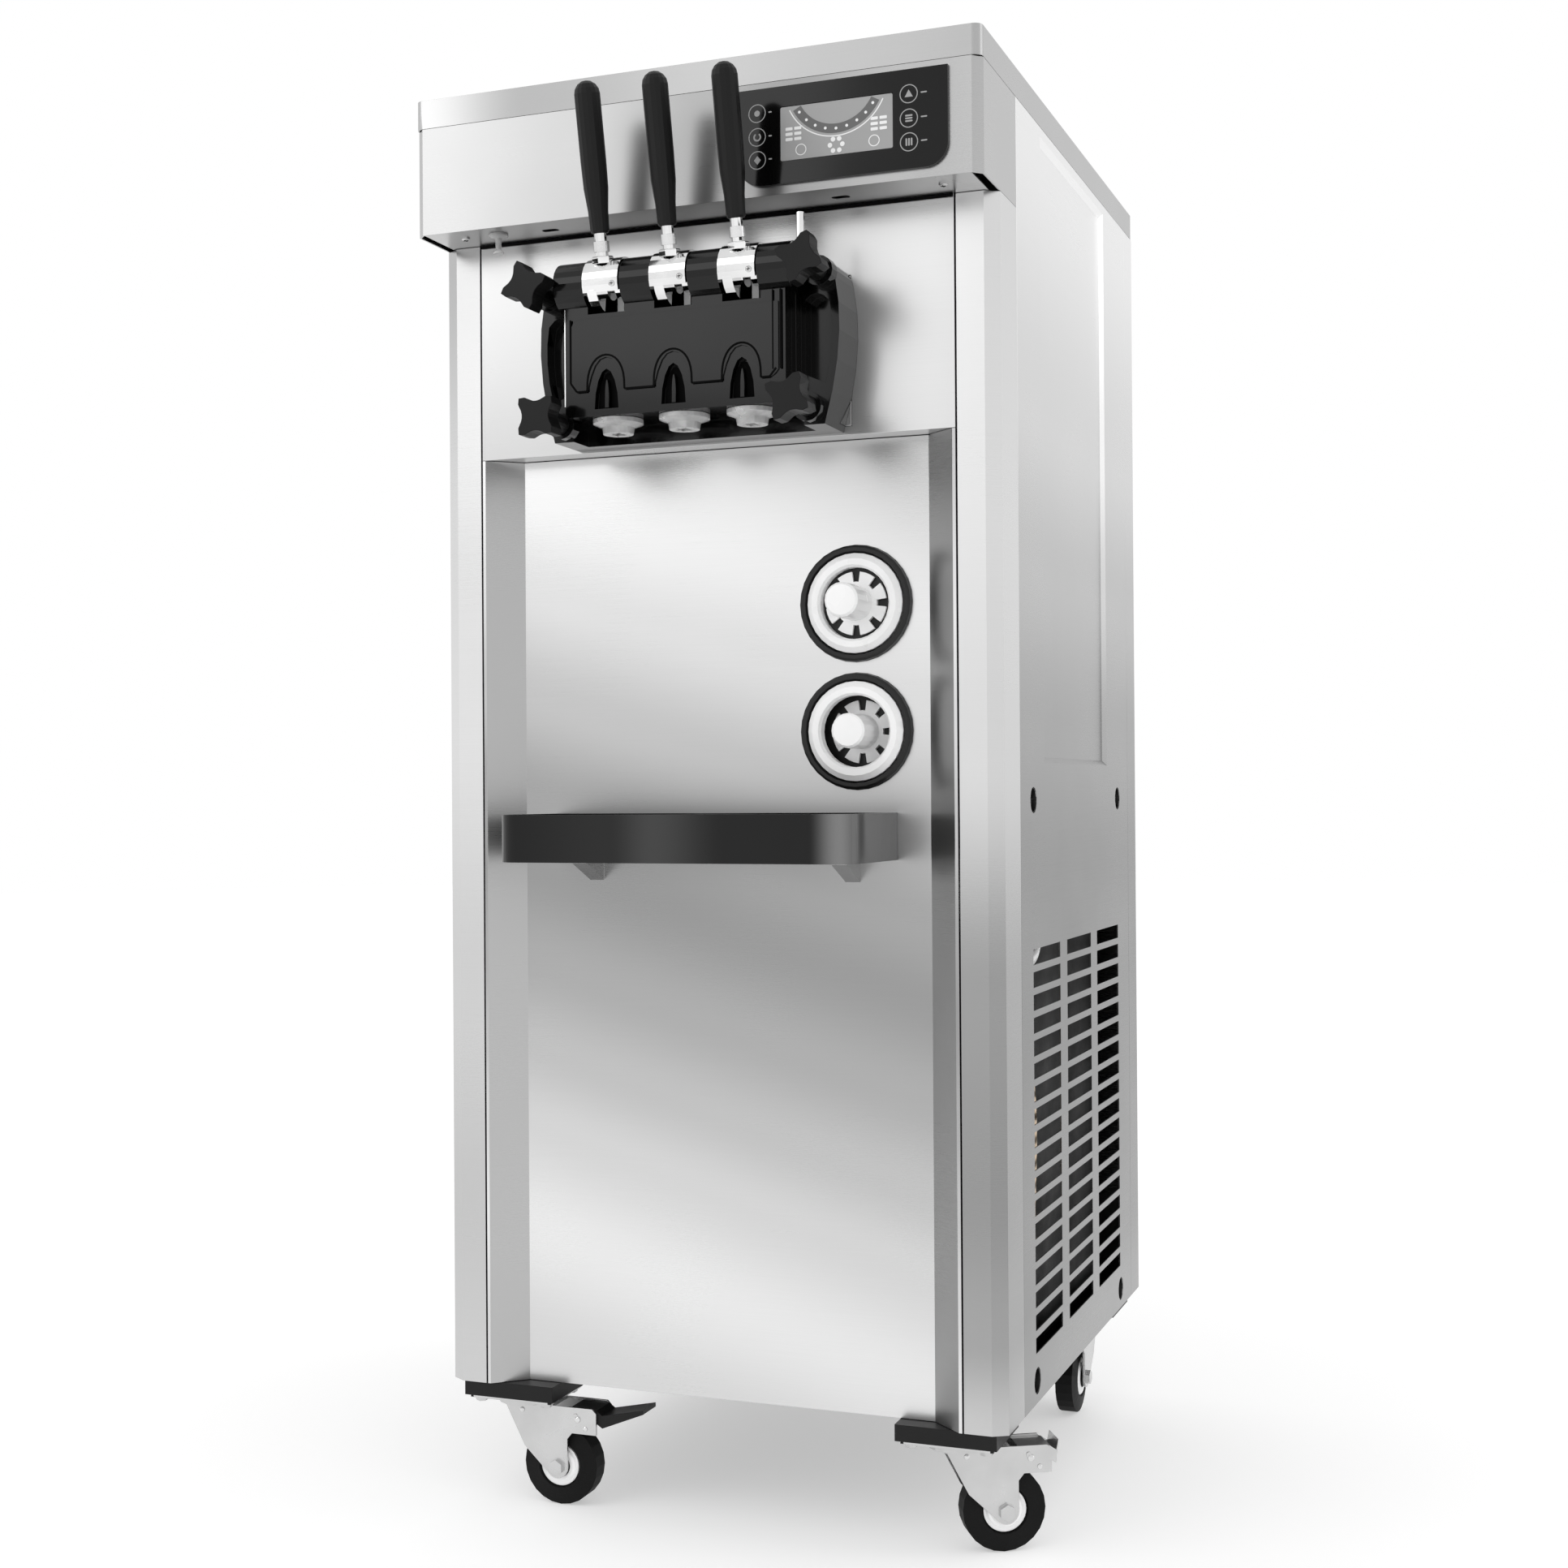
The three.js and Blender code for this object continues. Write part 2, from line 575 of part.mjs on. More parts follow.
function casterForkSolid(pedalReach) {
  const top = cabinetBottom - casterPad.height - casterPlate.height - gap;
  const crownBottom = top - caster.crownHeight;
  const inner = caster.wheelWidth / 2 + 2;
  const outer = inner + caster.legThickness;
  const axleZ = caster.wheelRadius;
  const leg = new THREE.Shape();
  leg.moveTo(-15, crownBottom + 8);
  leg.lineTo(6, axleZ + 17);
  leg.absarc(caster.trail, axleZ, 11, THREE.MathUtils.degToRad(215), THREE.MathUtils.degToRad(360));
  leg.lineTo(caster.trail + 11, axleZ + 27);
  leg.lineTo(caster.trail + 16, axleZ + 33);
  leg.lineTo(caster.trail + 41, axleZ + 33);
  leg.lineTo(caster.trail + 41, crownBottom + 4);
  leg.lineTo(caster.trail + 37, crownBottom + 8);
  const legs = [-1, 1].map((side) => {
    return prism('y', leg, ordered(side * inner, side * outer), 4);
  });
  const crown = box([-15, 34], [-outer, outer], [crownBottom + 5, crownBottom + 8]);
  const swivel = rod('z', caster.swivelRadius, [crownBottom + 7, top], [0, 0], 18);
  const axle = rod('y', caster.axleRadius, [-outer - 3, outer + 3], [caster.trail, axleZ], 12);
  const heads = [-1, 1].map((side) => {
    const span = ordered(side * outer, side * (outer + 4));
    return rod('y', caster.axleRadius + 3.5, span, [caster.trail, axleZ], 6);
  });
  const pin = rod('y', pedal.pinRadius, [-outer - 1, outer + 1], [pedal.pivotX, pedal.pivotHeight], 8);
  return join(swivel, crown, legs, axle, heads, pedalReach ? [pin] : []);
}

function casterWheelSolid() {
  const halfWidth = caster.wheelWidth / 2;
  const radius = caster.wheelRadius;
  const bore = caster.axleRadius + caster.boreClearance;
  const rightHalf = [
    [bore, halfWidth], [11, halfWidth], [13, halfWidth - 5], [radius - 18, halfWidth - 5],
    [radius - 16, halfWidth - 1], [radius, halfWidth - 4],
  ];
  const leftHalf = rightHalf.map(([r, h]) => [r, -h]).reverse();
  return turned('y', [...rightHalf, ...leftHalf], [0, 0], 24);
}

function brakePedalSolid(reach) {
  const inner = caster.wheelWidth / 2 + 2 - runningGap;
  const low = -6;
  const profile = polygon([
    [-8, low + 4], [0, low], [18, low + 1], [26, low - 4], [reach - pedal.pivotX, 7],
    [reach - pedal.pivotX, 11], [26, 2], [20, 6], [-8, 6],
  ]);
  const bore = rod('y', pedal.pinRadius + runningGap, [-inner - 1, inner + 1], [0, 0], 12);
  return cut(prism('y', profile, [-inner, inner]), bore);
}

function buildCasters() {
  for (const { name, x, y, turn, pedalReach } of casterPositions()) {
    const swivel = groupAt(x, y, 0);
    swivel.rotation.z = THREE.MathUtils.degToRad(turn);
    addPart(`caster_fork_${name}`, casterForkSolid(pedalReach), zinc, swivel);
    const wheel = groupAt(caster.trail, 0, caster.wheelRadius, swivel);
    addPart(`caster_wheel_${name}`, casterWheelSolid(), rubberBlack, wheel);
    if (pedalReach) {
      const pivot = groupAt(pedal.pivotX, 0, pedal.pivotHeight, swivel);
      addPart(`brake_pedal_${name}`, brakePedalSolid(pedalReach), paintedBlack, pivot);
    }
  }
}

// ---------------------------------------------------------------- drip tray and cup dispensers
function buildDripTray() {
  const rear = door.recess - gap;
  const bottom = up(tray.bottom);
  const plan = (shrink) => {
    const r = tray.cornerRadius - shrink;
    const x = tray.halfWidth - shrink;
    const front = tray.front + shrink;
    const shape = new THREE.Shape();
    shape.moveTo(-x, rear - shrink);
    shape.lineTo(-x, front + r);
    shape.absarc(-x + r, front + r, r, Math.PI, Math.PI * 1.5);
    shape.absarc(x - r, front + r, r, Math.PI * 1.5, Math.PI * 2);
    shape.lineTo(x, rear - shrink);
    return shape;
  };
  const body = prism('z', plan(0), [bottom, bottom + tray.height], 8);
  const hollow = prism('z', plan(tray.wall), [bottom + tray.floor, bottom + tray.height + 1], 8);
  addPart('drip_tray', cut(body, hollow), glossBlack);
}

function cupTubeSolid() {
  const face = -gap;
  const seat = cup.seatRadius;
  const bore = seat - cup.wall;
  const seatDepth = cup.collarDepth - cup.collarProud + gap;
  return turned('y', [
    [cup.flangeRadius, face], [cup.flangeRadius - 1, face - cup.flangeProud + 1],
    [cup.flangeRadius - 3, face - cup.flangeProud], [seat + 1, face - cup.flangeProud],
    [seat - 0.5, seatDepth - 4], [seat - 0.5, seatDepth], [bore, seatDepth],
    [bore, cup.tubeDepth - cup.wall], [8, cup.tubeDepth - cup.wall], [8, cup.tubeDepth],
    [seat, cup.tubeDepth], [seat, face],
  ], [0, 0], 32);
}

function cupCollarSolid() {
  const front = -cup.collarProud;
  const rear = front + cup.collarDepth;
  const outer = cup.seatRadius - 1;
  return turned('y', [
    [cup.collarHole, rear], [cup.collarHole, front + 3], [cup.collarHole + 2, front],
    [outer - 5, front], [outer, front + 4], [outer, rear],
  ], [0, 0], 32);
}

function cupPusherSolid(setBack) {
  const discFront = cup.collarDepth - cup.collarProud + gap + runningGap;
  const disc = rod('y', pusher.discRadius, [discFront, discFront + pusher.discThickness], [0, 0], 24);
  const noseFront = discFront - pusher.noseReach;
  const nose = turned('y', [
    [0, discFront + 1], [pusher.noseRadius, discFront + 1], [pusher.noseRadius, noseFront + 2],
    [pusher.noseRadius - 2, noseFront], [0, noseFront],
  ], [0, 0], 20);
  const petalFront = discFront - 5;
  const step = 360 / pusher.petals;
  const petals = Array.from({ length: pusher.petals }, (_, i) => {
    const from = i * step + (step * pusher.petalGap) / 2;
    const to = (i + 1) * step - (step * pusher.petalGap) / 2;
    const shape = sector(pusher.noseRadius - 2, pusher.petalRadius, from, to, 3);
    return prism('y', shape, [petalFront, petalFront + pusher.petalThickness]);
  });
  const middle = rod('y', pusher.noseRadius + 4, [petalFront, discFront + 1], [0, 0], 24);
  return join(disc, nose, middle, petals).translate([0, setBack, 0]);
}

function buildCupDispensers() {
  cup.heights.forEach((height, i) => {
    const place = ['upper', 'lower'][i];
    const dispenser = groupAt(cup.x, door.recess, up(height));
    addPart(`cup_tube_${place}`, cupTubeSolid(), rubberBlack, dispenser);
    addPart(`cup_collar_${place}`, cupCollarSolid(), whitePlastic, dispenser);
    addPart(`cup_pusher_${place}`, cupPusherSolid(pusher.setBacks[i]), whitePlastic, dispenser);
  });
}

// ---------------------------------------------------------------- freezing cylinders and drive
const studs = [
  ['upper_left', -stud.upperX, stud.upperZ, -15], ['upper_right', stud.upperX, stud.upperZ, 20],
  ['lower_left', -stud.lowerX, stud.lowerZ, 45], ['lower_right', stud.lowerX, stud.lowerZ, 30],
];
const barrelCentres = [-barrel.spacing / 2, barrel.spacing / 2];

function buildFreezingCylinders() {
  const z = up(barrel.height);
  const plate = box(
    [-facePlate.halfWidth, facePlate.halfWidth], [0, facePlate.thickness],
    [up(facePlate.bottom), up(facePlate.top)],
  );
  const { radius, length, boreRadius } = barrel;
  const wallFront = length - barrel.rearWall;
  const shells = barrelCentres.map((x) => rod('y', radius, [facePlate.thickness / 2, length], [x, z], 24));
  const bores = barrelCentres.map((x) => rod('y', boreRadius, [-1, wallFront], [x, z], 24));
  const shaftHoles = barrelCentres.map((x) => (
    rod('y', beater.shaftRadius + 1, [wallFront - 1, length + 1], [x, z], 12)
  ));
  const inlets = barrelCentres.map((x) => (
    rod('z', feed.radius - feed.wall, [z, z + radius + 1], [Math.sign(x) * feed.x, feed.y], 12)
  ));
  const rods = studs.map(([, x, height]) => rod('y', stud.radius, [-stud.reach, 1], [x, up(height)], 10));
  addPart('freezing_cylinders', join(cut(join(plate, shells), bores, shaftHoles, inlets), rods), stainless);
}

class Helix extends THREE.Curve {
  constructor(radius, length, turns) {
    super();
    Object.assign(this, { radius, length, turns });
  }

  getPoint(t) {
    const angle = t * this.turns * 2 * Math.PI;
    return new THREE.Vector3(this.radius * Math.cos(angle), t * this.length, this.radius * Math.sin(angle));
  }
}

function beaterSolid() {
  const { start, end, bladeRadius, bladeInner, bladeHalfHeight: tall, armInset, turns } = beater;
  const length = end - start - 2 * armInset;
  const middle = (bladeRadius + bladeInner) / 2;
  const wide = (bladeRadius - bladeInner) / 2;
  const section = polygon([[-wide, -tall], [wide, -tall], [wide, tall], [-wide, tall]]);
  const steps = Math.round(turns * 12);
  const path = new Helix(middle, length, turns);
  const ribbon = new THREE.ExtrudeGeometry(section, { steps, bevelEnabled: false, extrudePath: path });
  ribbon.translate(0, start + armInset, 0);
  const shaft = rod('y', beater.shaftRadius, [start, beater.reach], [0, 0], 12);
  const arms = [0, 0.5, 1].map((share) => {
    const y = share * length + start + armInset;
    const angle = share * turns * 2 * Math.PI;
    const tip = [middle * Math.cos(angle), y, middle * Math.sin(angle)];
    return strut([0, y, 0], tip, beater.armRadius, 6);
  });
  return join(shaft, toSolid(ribbon), arms);
}

function buildBeaters() {
  sides.forEach(([name, side]) => {
    const place = groupAt((side * barrel.spacing) / 2, 0, up(barrel.height));
    addPart(`beater_${name}`, beaterSolid(), stainless, place);
  });
}

function buildGearReducers() {
  const z = up(barrel.height);
  const { front, rear, halfWidth, halfHeight, boreRadius, bridge } = reducer;
  const cases = barrelCentres.map((x) => (
    box([x - halfWidth, x + halfWidth], [front, rear], [z - halfHeight, z + halfHeight])
  ));
  const neckSpan = [barrel.length + gap, front + 1];
  const necks = barrelCentres.map((x) => rod('y', boreRadius + 10, neckSpan, [x, z], 16));
  const frontBores = barrelCentres.map((x) => rod('y', boreRadius, [barrel.length, front + 26], [x, z], 12));
  const shaftSpan = [rear - pulleys.shaftLength - 4, rear + 1];
  const rearBores = barrelCentres.map((x) => rod('y', pulleys.shaftRadius + 1, shaftSpan, [x, z], 12));
  const tie = box(barrelCentres, [front + 10, front + 10 + bridge], [z - 20, z + 20]);
  addPart('gear_reducers', cut(join(cases, necks, tie), frontBores, rearBores), greyCasting);
}

function pulleySolid(groove, shaftFront) {
  const { front, width, flange: rise, shaftRadius } = pulleys;
  const rear = front + width;
  return turned('y', [
    [0, shaftFront], [shaftRadius, shaftFront], [shaftRadius, front],
    [groove + rise, front], [groove + rise, front + 2], [groove, front + 4],
    [groove, rear - 4], [groove + rise, rear - 2], [groove + rise, rear], [0, rear],
  ], [0, 0], 24);
}

function buildDrive() {
  const reducerZ = up(barrel.height);
  sides.forEach(([name, side]) => {
    const place = groupAt((side * barrel.spacing) / 2, 0, reducerZ);
    const pulley = pulleySolid(pulleys.reducerGroove, reducer.rear - pulleys.shaftLength);
    addPart(`reducer_pulley_${name}`, pulley, greyCasting, place);
  });
  const motorZ = up(motor.z);
  const place = groupAt(0, 0, motorZ);
  const pulley = pulleySolid(pulleys.motorGroove, motor.rear - pulleys.shaftLength);
  addPart('motor_pulley', pulley, greyCasting, place);
  const around = (extra) => convexOutline([
    ...circlePoints(pulleys.reducerGroove + extra, [barrelCentres[0], reducerZ]),
    ...circlePoints(pulleys.reducerGroove + extra, [barrelCentres[1], reducerZ]),
    ...circlePoints(pulleys.motorGroove + extra, [0, motorZ]),
  ]);
  const loop = polygon(around(runningGap + pulleys.belt));
  loop.holes.push(polygon(around(runningGap)));
  const beltSpan = [pulleys.front + 5, pulleys.front + pulleys.width - 5];
  addPart('drive_belt', prism('y', loop, beltSpan), beltRubber);
  buildMotor(motorZ);
}

function buildMotor(z) {
  const base = up(basePan.thickness) + gap;
  const { front, rear, radius, footWidth, footHeight, footSpread: spread } = motor;
  const body = turned('y', [
    [0, front], [radius - 12, front], [radius, front + 12],
    [radius, rear - 10], [radius - 10, rear], [0, rear],
  ], [0, z], 20);
  const shaftSpan = [rear - pulleys.shaftLength - 4, rear + 1];
  const shaftBore = rod('y', pulleys.shaftRadius + 1, shaftSpan, [0, z], 16);
  const wide = footWidth / 2;
  const stand = [front + 30, rear - 50].map((y) => box([-wide, wide], [y, y + 20], [base, z - radius + 12]));
  const foot = box([-wide - spread, wide + spread], [front + 20, rear - 20], [base, base + footHeight]);
  addPart('drive_motor', cut(join(body, stand, foot), shaftBore), greyCasting);
}

function buildCompressor() {
  const base = up(basePan.thickness) + gap;
  const { x, y, radius, height, shoulder: dome, footHalf: [wide, long], footHeight, pipeRadius } = compressor;
  const low = base + footHeight - 2;
  const top = base + height;
  const can = turned('z', [
    [0, low], [radius - dome / 2, low], [radius, low + dome / 2], [radius, top - dome],
    [radius - dome / 3, top - dome / 3], [radius - dome, top], [0, top],
  ], [x, y], 20);
  const footPlan = roundedRectangle(x - wide, x + wide, y - long, y + long, 12);
  const foot = prism('z', footPlan, [base, base + footHeight], 2);
  const pipeX = x + compressor.pipeX;
  const pipeTop = top + compressor.pipeRise;
  const pipe = rod('z', pipeRadius, [top - 10, pipeTop], [pipeX, y], 10);
  const stubZ = pipeTop - pipeRadius / 2;
  const stub = strut([pipeX, y, stubZ], [pipeX, y + compressor.pipeReach, stubZ], pipeRadius);
  addPart('compressor', join(can, foot, pipe, stub), paintedBlack);
}

function buildCondenser() {
  const { x, thickness, front, rear, fanHole, shroudWall: wall, footLength } = condenser;
  const bottom = up(condenser.bottom);
  const top = bottom + condenser.height;
  const centre = [(front + rear) / 2, (bottom + top) / 2];
  const shroudFront = x - condenser.shroudDepth;
  const core = box([x, x + thickness], [front, rear], [bottom, top]);
  const shroud = box([shroudFront, x + 1], [front, rear], [bottom, top]);
  const duct = box([shroudFront + sheet, x], [front + wall, rear - wall], [bottom + wall, top - wall]);
  const opening = rod('x', fanHole, [shroudFront - 1, shroudFront + sheet + 1], centre, 32);
  const housing = cut(join(core, shroud), duct, opening);
  const base = up(basePan.thickness) + gap;
  const feet = [front, rear - footLength].map((y) => (
    box([x, x + thickness], [y, y + footLength], [base, bottom + 1])
  ));
  const fanPlane = shroudFront - fan.standOff;
  addPart('condenser', join(housing, fanMountSolid(centre, fanPlane, shroudFront), feet), copperCoil);
  buildFan(centre, fanPlane);
}

// The bridge across the shroud's opening that carries the fan's motor.
function fanMountSolid([y, z], fanPlane, shroudFront) {
  const { bridge, clearance, motorLength, shaftLength } = fan;
  const high = [z - fan.bridgeHalfHeight, z + fan.bridgeHalfHeight];
  const reach = condenser.fanHole + fan.bridgeOverlap;
  const arms = [-1, 1].map((side) => (
    box(
      [fanPlane - bridge, shroudFront + 1],
      ordered(y + side * reach, y + side * (reach - fan.bridgeOverlap + 2)), high,
    )
  ));
  const beam = box([fanPlane - bridge, fanPlane - clearance], [y - reach, y + reach], high);
  const can = rod('x', fan.motorRadius, [fanPlane - motorLength, fanPlane - clearance], [y, z], 20);
  const bore = rod('x', fan.shaftRadius + 1, [fanPlane - shaftLength - 4, fanPlane], [y, z], 12);
  return cut(join(arms, beam, can), bore);
}

function buildFan([y, z], fanPlane) {
  const { radius, hubRadius, width, bladeThickness, bladeWidth } = fan;
  const place = groupAt(fanPlane, y, z);
  const hub = rod('x', hubRadius, [0, width], [0, 0], 20);
  const shaft = rod('x', fan.shaftRadius, [-fan.shaftLength, 1], [0, 0], 12);
  const blades = Array.from({ length: fan.blades }, (_, i) => {
    const blade = new THREE.BoxGeometry(bladeThickness, bladeWidth, radius - hubRadius + 4);
    blade.rotateZ(THREE.MathUtils.degToRad(-fan.pitch));
    blade.translate(width / 2, 0, (radius + hubRadius - 4) / 2);
    blade.rotateX((i / fan.blades) * 2 * Math.PI);
    return toSolid(blade);
  });
  addPart('condenser_fan', join(hub, shaft, blades), paintedBlack, place);
}

function buildGland() {
  const rear = cabinet.depth;
  const place = groupAt(gland.x, rear, up(gland.z));
  const solid = turned('y', [
    [5, -20], [gland.radius, -20], [gland.radius, gap], [gland.nutRadius, gap], [gland.nutRadius, 6],
    [gland.nutRadius - 4, gland.proud], [5, gland.proud],
  ], [0, 0], 16);
  addPart('cord_gland', solid, rubberBlack, place);
}

// ---------------------------------------------------------------- dispensing head
function flangeOutline() {
  const bottom = up(flange.bottom);
  const top = up(flange.top);
  const { halfBottom, halfTop, bulge, cornerRadius: r } = flange;
  const middle = (bottom + top) / 2;
  const control = (halfBottom + halfTop) / 2 + 2 * bulge;
  const shape = new THREE.Shape();
  shape.moveTo(-halfBottom, bottom);
  shape.lineTo(halfBottom, bottom);
  shape.quadraticCurveTo(control, middle, halfTop, top - r);
  shape.quadraticCurveTo(halfTop - 2, top, halfTop - r, top);
  shape.lineTo(-halfTop + r, top);
  shape.quadraticCurveTo(-halfTop + 2, top, -halfTop, top - r);
  shape.quadraticCurveTo(-control, middle, -halfBottom, bottom);
  return shape;
}

function pocketOutline(side) {
  const inner = side * (shoulder.halfWidth + 4);
  const edge = side * (Math.max(flange.halfBottom, flange.halfTop) - flange.rim + 2);
  const low = up(stud.lowerZ) + boss.radius + 8;
  const high = up(stud.upperZ) - boss.radius - 3;
  const shape = new THREE.Shape();
  shape.moveTo(inner, low + 8);
  shape.lineTo(inner, high - 6);
  shape.quadraticCurveTo((inner + edge) / 2, high + 6, edge, high - 8);
  shape.quadraticCurveTo(edge + side * 6, (low + high) / 2, edge - side * 4, low);
  return shape;
}

function raisedPanelOutline() {
  const bottom = up(raised.bottom);
  const top = up(raised.top);
  const x = raised.halfWidth;
  const shape = new THREE.Shape();
  shape.moveTo(-x, bottom + 6);
  shape.quadraticCurveTo(-x + 4, bottom, -x + 8, bottom);
  for (const centre of tapCentres) {
    const r = raised.archRadius;
    const crown = bottom + raised.archRise;
    const shoulderZ = bottom + raised.archRise * 0.7;
    shape.lineTo(centre - r - 1, bottom);
    shape.bezierCurveTo(centre - r + 4, shoulderZ, centre - r * 0.5, crown, centre, crown);
    shape.bezierCurveTo(centre + r * 0.5, crown, centre + r - 4, shoulderZ, centre + r + 1, bottom);
  }
  shape.lineTo(x - 8, bottom);
  shape.quadraticCurveTo(x - 4, bottom, x, bottom + 6);
  shape.lineTo(x, top);
  shape.lineTo(-x + 10, top);
  shape.quadraticCurveTo(-x, top, -x, top - 12);
  return shape;
}

function reliefOutline(centre) {
  const bottom = up(relief.bottom);
  const top = bottom + relief.height;
  const w = relief.width / 2;
  const shape = new THREE.Shape();
  shape.moveTo(centre - w, bottom);
  shape.lineTo(centre + w, bottom);
  shape.bezierCurveTo(centre + w, bottom + relief.height * 0.55, centre + w * 0.5, top, centre, top);
  shape.bezierCurveTo(centre - w * 0.5, top, centre - w, bottom + relief.height * 0.55, centre - w, bottom);
  return shape;
}

function headBlockCasting() {
  const blockBottom = up(block.bottom);
  const axisZ = up(bar.z);
  const base = prism('y', flangeOutline(), [-flange.baseDepth, -gap], 5);
  const face = prism('y', flangeOutline(), [-flange.depth, -flange.baseDepth], 5);
  const nozzleBay = box(
    [-block.halfWidth - 6, block.halfWidth + 6], [-flange.depth - 1, -flange.baseDepth],
    [up(flange.bottom) - 1, blockBottom],
  );
  const front = prism('y', roundedRectangle(
    -block.halfWidth, block.halfWidth, blockBottom, up(block.top), block.cornerRadius,
  ), [-block.depth, -flange.depth + 1], 3);
  const step = box(
    [-shoulder.halfWidth, shoulder.halfWidth], [-shoulder.depth, -flange.depth + 1],
    [blockBottom + 4, up(block.top) - 2],
  );
  const panel = prism('y', raisedPanelOutline(), [-block.depth - raised.depth, -block.depth + 1], 4);
  const crossBar = rod('x', bar.radius, [-bar.halfLength, bar.halfLength], [bar.y, axisZ], 24);
  const web = box(
    [-block.halfWidth, block.halfWidth], [bar.y, -flange.depth + 1], [up(block.top) - 6, up(flange.top)],
  );
  const bossSpan = [-boss.depth, -flange.depth + 1];
  const bosses = studs.map(([, x, z]) => rod('y', boss.radius, bossSpan, [x, up(z)], 16));
  const spigots = barrelCentres.map((x) => (
    rod('y', barrel.boreRadius - 2 * runningGap, [-1, 6], [x, up(barrel.height)], 20)
  ));
  return join(base, cut(face, nozzleBay), front, step, panel, crossBar, web, bosses, spigots);
}

function headBlockCuts() {
  const axisZ = up(bar.z);
  const bayTop = up(flange.top) + bar.radius + 1;
  const slotSpan = [bar.y - bar.radius - 3, tap.y + 16];
  const slots = tapCentres.map((x) => (
    box([x - tap.slotHalf, x + tap.slotHalf], slotSpan, [axisZ - tap.slotDrop, bayTop])
  ));
  const boreSpan = [up(block.bottom) - 1, axisZ];
  const bores = tapCentres.map((x) => rod('z', tap.boreRadius, boreSpan, [x, tap.y], 18));
  const pinHole = rod('x', handlePin.radius + runningGap, [-half, half], [bar.y, axisZ], 16);
  const studHoles = studs.map(([, x, z]) => (
    rod('y', stud.radius + runningGap, [-boss.depth - 1, 1], [x, up(z)], 12)
  ));
  const pockets = sides.map(([, side]) => (
    prism('y', pocketOutline(side), [-flange.depth - 1, -flange.depth + flange.pocketDepth], 4)
  ));
  const reliefSpan = [-block.depth - 3, -block.depth + relief.depth];
  const reliefs = tapCentres.map((x) => prism('y', reliefOutline(x), reliefSpan, 4));
  const outerChannels = barrelCentres.map((x) => (
    rod('y', channel.radius, [tap.y, 7], [x, up(channel.z) + 8], 10)
  ));
  const innerChannels = [-1, 1].map((side) => (
    strut([side * 26, 8, up(barrel.height) - 15], [0, tap.y, up(channel.z) + 8], channel.radius)
  ));
  const channels = [...outerChannels, ...innerChannels];
  return [...slots, ...bores, pinHole, ...studHoles, ...pockets, ...reliefs, ...channels];
}

function leverSolid() {
  const { hubRadius, coreRadius, shellThickness, halfWidth, shellFrom, shellTo } = lever;
  const { bladeSlotLeft: slotLeft, bladeSlotRight: slotRight, earWidth, liftArm } = lever;
  const wide = [-halfWidth, halfWidth];
  const core = rod('x', coreRadius, wide, [0, 0], 16);
  const shell = prism('x', sector(hubRadius - shellThickness, hubRadius, shellFrom, shellTo), wide);
  const webs = [[-halfWidth, slotLeft], [slotRight, halfWidth]].map((span) => (
    prism('x', sector(1, hubRadius - 1, shellFrom, shellTo), span)
  ));
  const tongueShape = sector(1, hubRadius, shellTo - 5, lever.tongueTo, 5);
  const tongue = prism('x', tongueShape, [lever.tongueLeft, lever.tongueRight]);
  const slotTop = hubRadius - shellThickness - 1.5;
  const bladeSlot = box([slotLeft, slotRight], [-halfWidth, hubRadius + 1], [-hubRadius - 1, slotTop]);
  const earSpans = [[slotLeft - earWidth, slotLeft], [slotRight, slotRight + earWidth]];
  const earShape = roundedRectangle(0, liftArm + 4.5, -5, 5, 4.4);
  const ears = earSpans.map((span) => prism('x', earShape, span, 2));
  const liftPin = rod('x', lever.pinRadius, [slotLeft - earWidth, slotRight + earWidth], [liftArm, 0], 8);
  const pinBore = rod('x', handlePin.radius + runningGap, [-halfWidth - 1, halfWidth + 1], [0, 0], 12);
  const lean = THREE.MathUtils.degToRad(lever.lean);
  const along = (s) => [0, -lever.rodOffset - s * Math.sin(lean), s * Math.cos(lean)];
  const stem = strut(along(18), along(lever.gripStart + grip.buriedRod), lever.rodRadius, 12);
  const body = cut(join(core, shell, webs, tongue), bladeSlot);
  return cut(join(body, ears, liftPin, stem), pinBore);
}

function gripSolid() {
  const length = lever.gripEnd - lever.gripStart;
  const { neckRadius, bodyRadius, neckLength, buriedRod } = grip;
  const domeSteps = 4;
  const dome = Array.from({ length: domeSteps + 1 }, (_, i) => {
    const angle = (i / domeSteps) * (Math.PI / 2);
    return [bodyRadius * Math.cos(angle), length - bodyRadius + bodyRadius * Math.sin(angle)];
  });
  dome[domeSteps][0] = 0;
  const bore = lever.rodRadius + gap;
  const profile = [
    [0, buriedRod + 2], [bore, buriedRod + 2], [bore, 0], [neckRadius - 1, 0], [neckRadius, 2],
    [neckRadius + 0.6, neckLength * 0.5], [bodyRadius - 0.4, neckLength],
    [bodyRadius, neckLength * 1.6], ...dome,
  ];
  return turned('z', profile, [0, 0], 16);
}

function valveSolid() {
  const bottom = up(valve.bottom);
  const top = up(valve.top);
  const plunger = rod('z', valve.radius, [bottom, top], [0, 0], 18);
  const { bladeSlotLeft, bladeSlotRight } = lever;
  const blade = box(
    [bladeSlotLeft + runningGap, bladeSlotRight - runningGap],
    [valve.bladeFront, valve.bladeRear], [top - 1, up(valve.bladeTop)],
  );
  const pinZ = up(bar.z);
  const reach = bar.y + lever.liftArm - tap.y;
  const slotHalf = lever.pinRadius + 1.8;
  const slotLong = [reach - 11, reach + lever.pinRadius + 0.6];
  const slot = box([-valve.radius, valve.radius], slotLong, [pinZ - slotHalf, pinZ + slotHalf + 1]);
  return cut(join(plunger, blade), slot);
}

